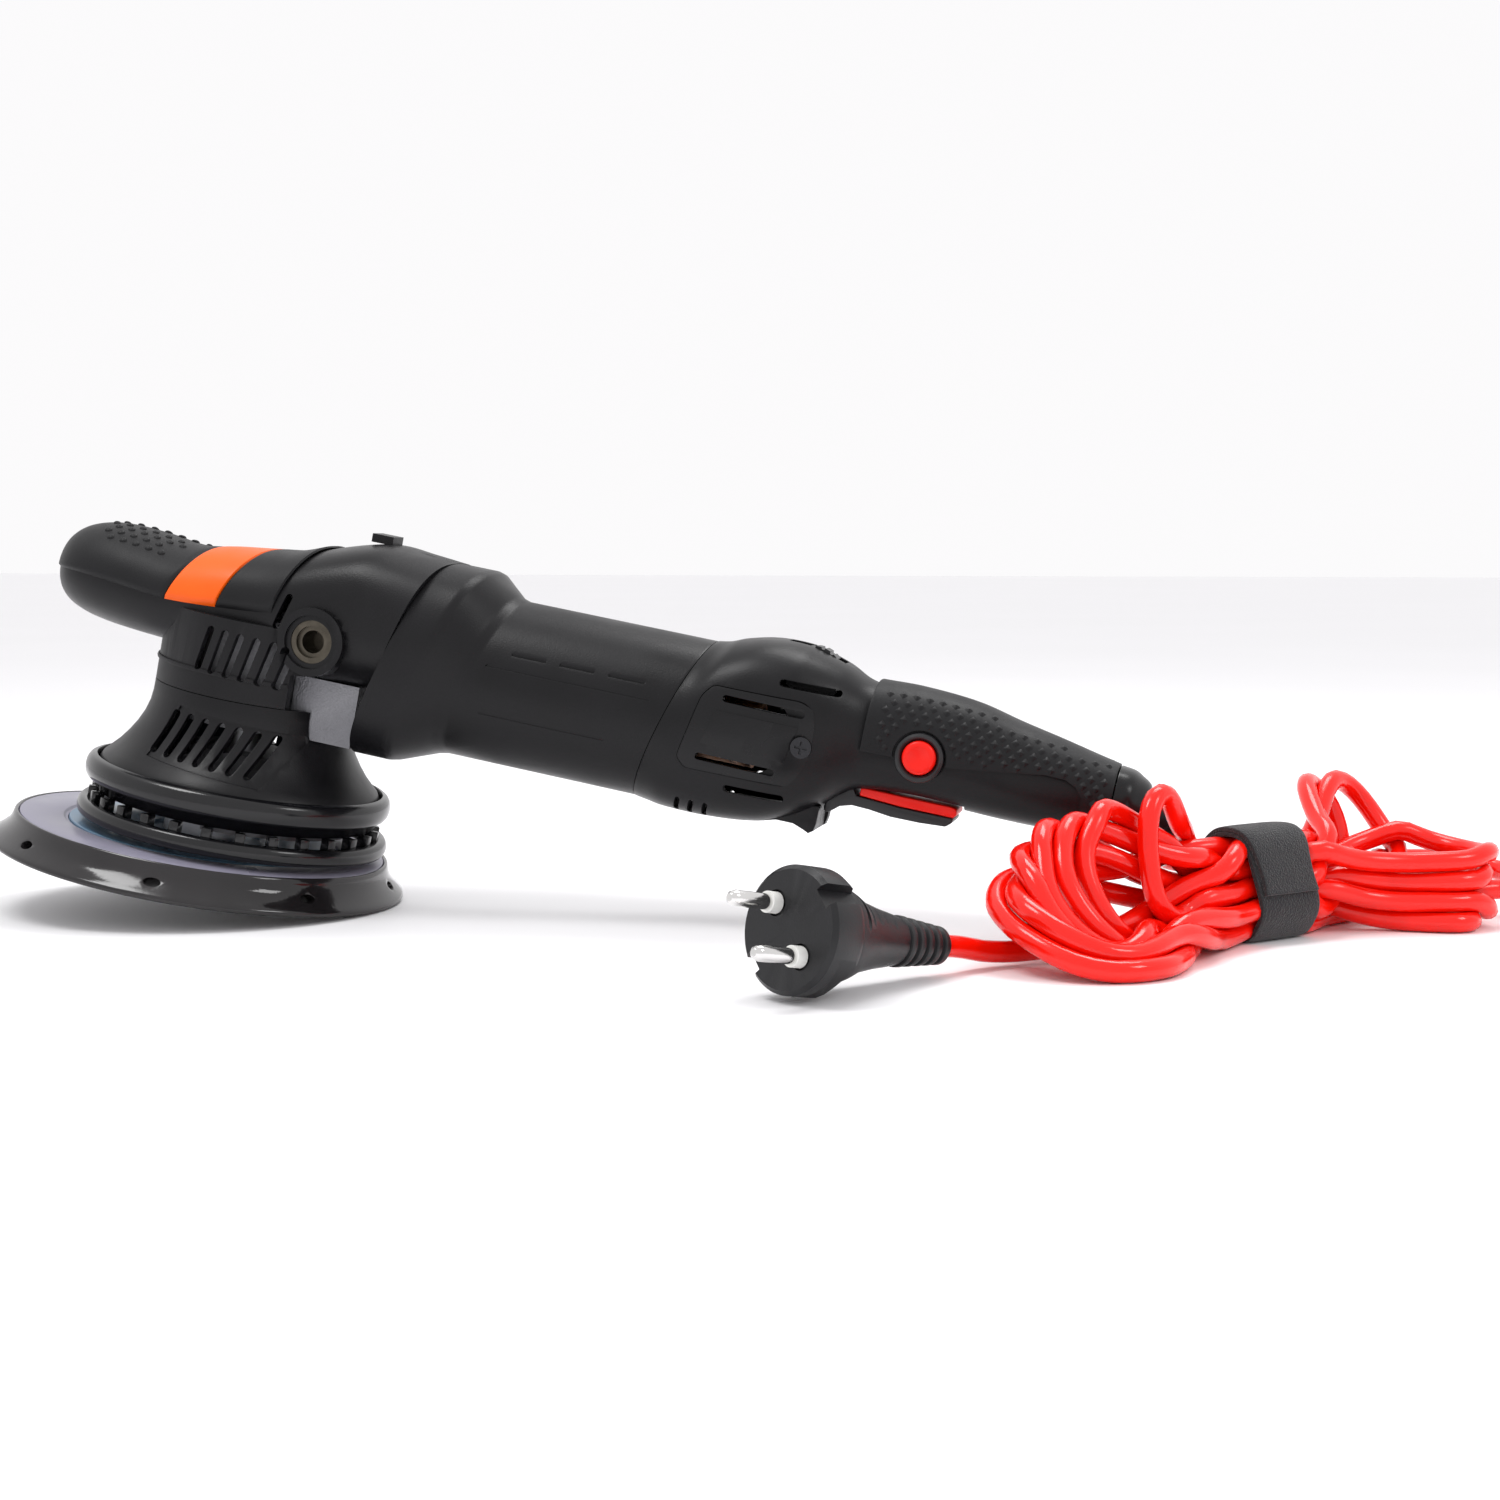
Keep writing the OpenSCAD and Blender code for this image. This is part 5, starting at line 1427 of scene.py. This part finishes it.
@dataclass
class RearBody:
    """Rear shells with the trigger trough, the brush covers and the finger guard."""

    wall: float = 2.6
    screw: Flat = (207.0, 92.6)
    hull: Hull = Hull((
        Station(157, 90, 29.5, 29.5, 2, SLOPE), Station(161, 90.2, 30.1, 30.1, 2.15, SLOPE),
        Station(167, 91, 30.8, 31.5, 2.5, SLOPE * 0.9), Station(180, 92.2, 31, 32.5, 2.9, SLOPE * 0.6),
        Station(195, 93.2, 30.6, 31.6, 2.9, SLOPE * 0.3), Station(204, 94.5, 29, 29, 2.8),
        Station(213, 95.8, 25.5, 25, 2.6), Station(220, 97, 21.6, 20.6, 2.4),
        Station(225, 97.8, 19.2, 18.8, 2.4), Station(239.6, 98.6, 17.5, 18.35, 2.3),
        Station(259, 97.8, 16.7, 17.75, 2.3), Station(275.4, 95.8, 16.5, 16.15, 2.3),
        Station(290, 94.5, 15.9, 14.55, 2.3), Station(301.6, 94.2, 14.9, 12.35, 2.3),
        Station(310.4, 94, 13.9, 10.75, 2.3)))

    def _outline(self, grow: float) -> list[Flat]:
        """Rounded outline of a brush cover, with its lobe round the screw."""
        corners = np.array((
            (173.5, 107), (204, 107.3), (210.5, 104), (213.6, 98), (212.6, 90), (208.4, 84.6),
            (204.6, 78.2), (168.6, 77.8), (165.4, 81), (170.2, 103)))
        middle = corners.mean(axis=0)
        made: list[Flat] = []
        count = len(corners)
        for i in range(count):
            a, b, c = (corners[(i + k) % count] for k in (-1, 0, 1))
            r = 0.32 * min(np.linalg.norm(a - b), np.linalg.norm(c - b), 9)
            p = b + (a - b) / np.linalg.norm(a - b) * r
            q = b + (c - b) / np.linalg.norm(c - b) * r
            for t in (0.0, 0.25, 0.5, 0.75, 1.0):
                at = (1 - t) ** 2 * p + 2 * t * (1 - t) * b + t * t * q
                away = (at - middle) / np.linalg.norm(at - middle)
                made.append(tuple(at + away * grow))
        return made

    def _casing(self) -> Workpiece:
        """Both rear shells as one hollow casing."""
        shell = tube_of("rear_casing", self.hull, 157, 307, along=130, across=96)
        hook = Workpiece.outline("finger_guard", [
            (x, -13, z) for x, z in (
                (192, 68), (192, 62.4), (200, 64.4), (206, 64.4), (210, 63), (211.8, 62.2), (213.3, 63.2),
                (213.9, 66), (214, 72))], (0, 26, 0))
        shell.add(hook)
        shell.cut(tube_of("room", self.hull, 154, 309, grow=-self.wall, along=90, across=72))
        shell.cut(Workpiece.block("trough", (213, -8.9, 50), (262, 8.9, 94)))
        shell.cut(Workpiece.block("dial_window", (191.1, -3.9, 104), (211.9, 3.9, 140)))
        for s in (-1, 1):
            cutter = Workpiece.outline("cover_recess", [(x, s * 27.2, z) for x, z in self._outline(0.35)],
                                       (0, s * 20, 0))
            shell.cut(cutter)
            x, z = self.screw
            shell.cut(Workpiece.rod("screw_hole", (x, s * 15, z), (x, s * 36, z), 2.3, 32))
        shell.cut(capsule("upper_vent", 205.3, 112.2, 20.5, 2.5, -1, -60, 60))
        shell.cut(capsule("lower_vent", 193, 73.4, 20.5, 2.5, 0, -60, 60))
        for k in range(3):
            shell.cut(capsule("small_vent", 166 + 5 * k, 63.5, 6, 1.8, 70, -60, 60))
        return shell

    def _shells(self) -> None:
        """The two rear shells."""
        whole = self._casing()
        for side, node in ((Side.LEFT, "rear_shell_left"), (Side.RIGHT, "rear_shell_right")):
            half = whole.copy(node.replace("rear_shell", "rear_casing")).halve(side)
            if side is Side.RIGHT:
                x, z = BUTTON
                half.cut(Workpiece.rod("button_hole", (x, 0, z), (x, -40, z), 8.55, 48))
            half.soften(0.5, 3, 38)
            half.finish(CASING, Body.HOUSING, "casing_black", (node,), smooth=40)
        bpy.data.objects.remove(whole.obj)

    def _cover(self, side: Side) -> None:
        """A brush cover, its face following the casing."""
        s = side.value
        word = "left" if side is Side.LEFT else "right"
        plate = Workpiece.outline(f"brush_hatch_{word}", [(x, s * 27.5, z) for x, z in self._outline(0)],
                                  (0, s * 12, 0))
        plate.combine(tube_of("skin", self.hull, 158, 222, grow=0.55, along=70, across=96), "INTERSECT")
        plaque = Workpiece.outline("plaque", [
            (x, s * 29, z) for x, z in ((176.2, 99.2), (204.6, 98.8), (201.6, 86.2), (172.8, 87.2))],
            (0, s * 10, 0))
        plaque.combine(tube_of("plaque_skin", self.hull, 158, 222, grow=1.15, along=60, across=80),
                       "INTERSECT")
        plate.add(plaque)
        for x, z, length in ((191.6, 103.3, 28.4), (185.5, 82.3, 27.8)):
            low, high = sorted((s * 20, s * 50))
            plate.cut(capsule("hatch_slot", x, z, length, 2.4, -1, low, high))
        x, z = self.screw
        plate.cut(Workpiece.rod("screw_way", (x, s * 20, z), (x, s * 40, z), 2.25, 32))
        plate.cut(Workpiece.rod("screw_seat", (x, s * 30.1, z), (x, s * 40, z), 3.75, 40))
        plate.soften(0.4, 3, 38)
        plate.finish(CASING_SMOOTH, Body.HOUSING, "casing_black", (f"brush_cover_{word}",), smooth=40)

    def build(self) -> None:
        """Makes the rear body."""
        self._shells()
        for side in Side:
            self._cover(side)


@dataclass
class Handle:
    """Soft sleeve with its field of pyramids, and the end cap."""

    skin: float = 1.6
    pitch: float = 4.5
    hull: Hull = Hull((
        Station(225, 98.6, 20.8, 19.6, 2.4), Station(239.6, 99.4, 19.2, 19.2, 2.3),
        Station(259, 98.6, 18.4, 18.6, 2.3), Station(275.4, 96.6, 18.2, 17, 2.3),
        Station(290, 95.3, 17.6, 15.4, 2.3), Station(301.6, 95, 16.6, 13.2, 2.3),
        Station(310.4, 94.8, 15.6, 11.6, 2.3)))
    cap: Hull = Hull((
        Station(310.7, 94.6, 15.4, 11.4, 2.3), Station(315.7, 94.4, 14.6, 10.9, 2.2),
        Station(319, 94, 12, 9.6, 2.1), Station(321.2, 93.8, 9.8, 8.4), Station(322, 93.8, 8.2, 7.4)))

    def _pyramids(self) -> list[Workpiece]:
        """Four-sided studs in a diamond grid over both sides of the sleeve."""
        clear_selection()
        bpy.ops.mesh.primitive_cone_add(vertices=4, radius1=1.75, radius2=0.35, depth=0.9)
        stud = Workpiece(bpy.context.object)
        stud.soften(0.12, 1, 30)
        made = []
        for row in range(9):
            for column in range(18):
                x = 230.5 + column * self.pitch + (self.pitch / 2 if row % 2 else 0)
                if x > 307.5:
                    continue
                height = -4.6 + row * self.pitch * 0.56 * 1.02
                half = self.hull.at(x)
                share = height / half[3]
                if not -0.35 < share < 0.9:
                    continue
                angle = math.degrees(math.asin(math.copysign(abs(share) ** (half[4] / 2), share)))
                if height < self._lower(x) - half[1] + 1.6:
                    continue
                for side in (-1, 1):
                    turn = 180 - angle if side < 0 else angle
                    place = Vector(self.hull.point(x, turn))
                    if side < 0 and (Vector((x, place.z)) - Vector(BUTTON)).length < 11.2:
                        continue
                    e1 = Vector(self.hull.point(x + 0.5, turn)) - Vector(self.hull.point(x - 0.5, turn))
                    e2 = Vector(self.hull.point(x, turn + 1)) - Vector(self.hull.point(x, turn - 1))
                    away = e1.cross(e2).normalized()
                    if away.y * side < 0:
                        away = -away
                    pose = away.to_track_quat("Z", "X").to_matrix().to_4x4()
                    made.append(stud.copy("stud").moved(Matrix.Translation(place + away * 0.3) @ pose))
        bpy.data.objects.remove(stud.obj)
        return made

    @staticmethod
    def _lower(x: float) -> float:
        """Lower edge of the sleeve on the sides."""
        places, heights = (224, 256, 287.6, 294, 298, 300.4, 301), (94.6, 94.8, 99.2, 99, 97.2, 94.2, 70)
        return float(np.interp(x, places, heights))

    def build(self) -> None:
        """Makes the sleeve and the cap."""
        sleeve = tube_of("grip_sleeve_soft", self.hull, 225, 310.3, along=96, across=96)
        sleeve.cut(tube_of("core", self.hull, 221, 314, grow=-self.skin, along=64, across=96))
        places = (210, 224, 256, 266, 277, 287.6, 291, 294, 298, 300.4, 301)
        under = [(x, -40, self._lower(x)) for x in places]
        sleeve.cut(Workpiece.outline("open_below", under + [(301, -40, 40), (210, -40, 40)], (0, 80, 0)))
        x, z = BUTTON
        sleeve.cut(Workpiece.rod("button_way", (x, -40, z), (x, 0, z), 9.2, 64))
        sleeve.soften(0.4, 2, 40)
        sleeve.join(*self._pyramids())
        sleeve.finish(SOFT, Body.HOUSING, "soft_black", ("grip_sleeve",), smooth=35)
        cap = tube_of("tail_cap", self.cap, 310.7, 322, along=32, across=80)
        cap.cut(Workpiece.rod("cord_way", (309.7, 0, 93.8), (335, 0, 93.8), 5.6, 48))
        cap.soften(0.35, 2, 40)
        cap.finish(CASING_SMOOTH, Body.HOUSING, "casing_black", ("end_cap",), smooth=45)


@dataclass
class Controls:
    """Lock button in its collar, and the paddle trigger with its red layer."""

    button_r: float = 5.8
    travel: float = 2.5
    half_w: float = 8.5
    pivot: Flat = (218.0, 79.0)

    def build(self) -> None:
        """Makes the controls."""
        x, z = BUTTON
        r, top = self.button_r, 5.5 + self.travel
        profile = [(0, 0), (r - 0.02, 0), (r - 0.02, top - 1.1), (r - 0.3, top - 0.5),
                   (r - 0.9, top - 0.15), (r - 2, top), (r - 2.6, top - 0.35), (0, top - 0.5)]
        button = Workpiece.turned("lock_push_button", profile, (x, -12.6, z), (0, -1, 0), steps=64)
        button.finish(RED, Body.BUTTON, "red_plastic", ("lock_button",), smooth=40)
        collar = Workpiece.turned("lock_button_ring", [
            (r + 0.3, 0), (8.5, 0), (8.5, 7.4), (8.2, 8.2), (7.4, 8.6), (6.8, 8.4), (r + 0.3, 7.6)],
            (x, -11.2, z), (0, -1, 0), steps=64)
        collar.finish(BLACK, Body.HOUSING, "button_black", ("button_collar",), smooth=40)
        self._trigger()

    def _trigger(self) -> None:
        """Paddle and red layer."""
        w = self.half_w
        paddle = Workpiece.outline("trigger_paddle", [(px, -w, pz) for px, pz in (
            (214.6, 71.2), (215.2, 70.2), (216.6, 70.2), (220, 73), (224, 74.2), (230, 74), (238, 73.1),
            (248, 73.2), (257, 73.8), (259, 75.5), (259.2, 77), (240, 77), (225, 77.8), (222.5, 82),
            (215.5, 82))], (0, 2 * w, 0))
        px, pz = self.pivot
        paddle.cut(Workpiece.rod("pin_way", (px, -30, pz), (px, 30, pz), 1.55, 32))
        paddle.soften(0.7, 3, 28)
        paddle.finish(BLACK, Body.TRIGGER, "button_black", ("trigger",), smooth=40)
        layer = Workpiece.outline("trigger_red_layer", [(qx, -w + 0.4, qz) for qx, qz in (
            (226, 78), (240, 77.2), (259.1, 77.2), (260, 78.6), (259.6, 80.2), (258, 80.8), (240, 80.8),
            (226, 81))], (0, 2 * w - 0.8, 0))
        layer.soften(0.5, 3, 28)
        layer.finish(RED, Body.TRIGGER, "red_plastic", ("trigger_insert",), smooth=40)


# ---------------------------------------------------------------------------------------------
# Kept CAD pieces
# ---------------------------------------------------------------------------------------------


@dataclass
class InnerWorks:
    """Finishes of the CAD nodes that keep their own shape."""

    dressed: tuple[tuple[str, Finish], ...] = (
        ("gear_case", CAST), ("handle_insert_left", BRASS), ("handle_insert_right", BRASS),
        ("bevel_gear", STEEL), ("bevel_pinion", STEEL), ("spindle", STEEL),
        ("counterweight", IRON), ("pad_bearings", STEEL), ("pad_spindle", STEEL), ("pad_screw", STEEL),
        ("stator", LAMINATION), ("armature_shaft", STEEL), ("armature_core", COPPER),
        ("commutator", COPPER), ("cooling_fan", BLACK), ("brush_holders", BRASS),
        ("carbon_brushes", CARBON), ("brush_cover_screws", SCREW), ("handle_screws", SCREW),
        ("trigger_pin", STEEL), ("switch_block", BLACK), ("speed_dial", BLACK),
        ("speed_module", BOARD), ("plug_sleeves", WHITE), ("seam_clip", CASING))

    def build(self) -> None:
        """Dresses every kept node; bearings and anything not named get steel or casing black."""
        named = dict(self.dressed)
        for name, obj in frame["nodes"].items():
            if obj.hide_render:
                continue
            finish = named.get(name)
            if finish is None:
                finish = STEEL if "bearing" in name or "screw" in name else CASING
            obj.data.materials.clear()
            obj.data.materials.append(finish.material())
            LOG.info("kept node %s: %s", name, finish.name)


def main() -> None:
    """Builds the sander, piece by piece."""
    logging.basicConfig(level=logging.INFO, format="%(name)s %(message)s")
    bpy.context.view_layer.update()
    Studio().build()
    plug = Plug().build()
    Hank().build(plug)
    for assembly in (Head(), Rings(), Pad(), MotorBody(), RearBody(), Handle(), Controls(), InnerWorks()):
        assembly.build()
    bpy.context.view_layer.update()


if __name__ == "__main__":
    main()
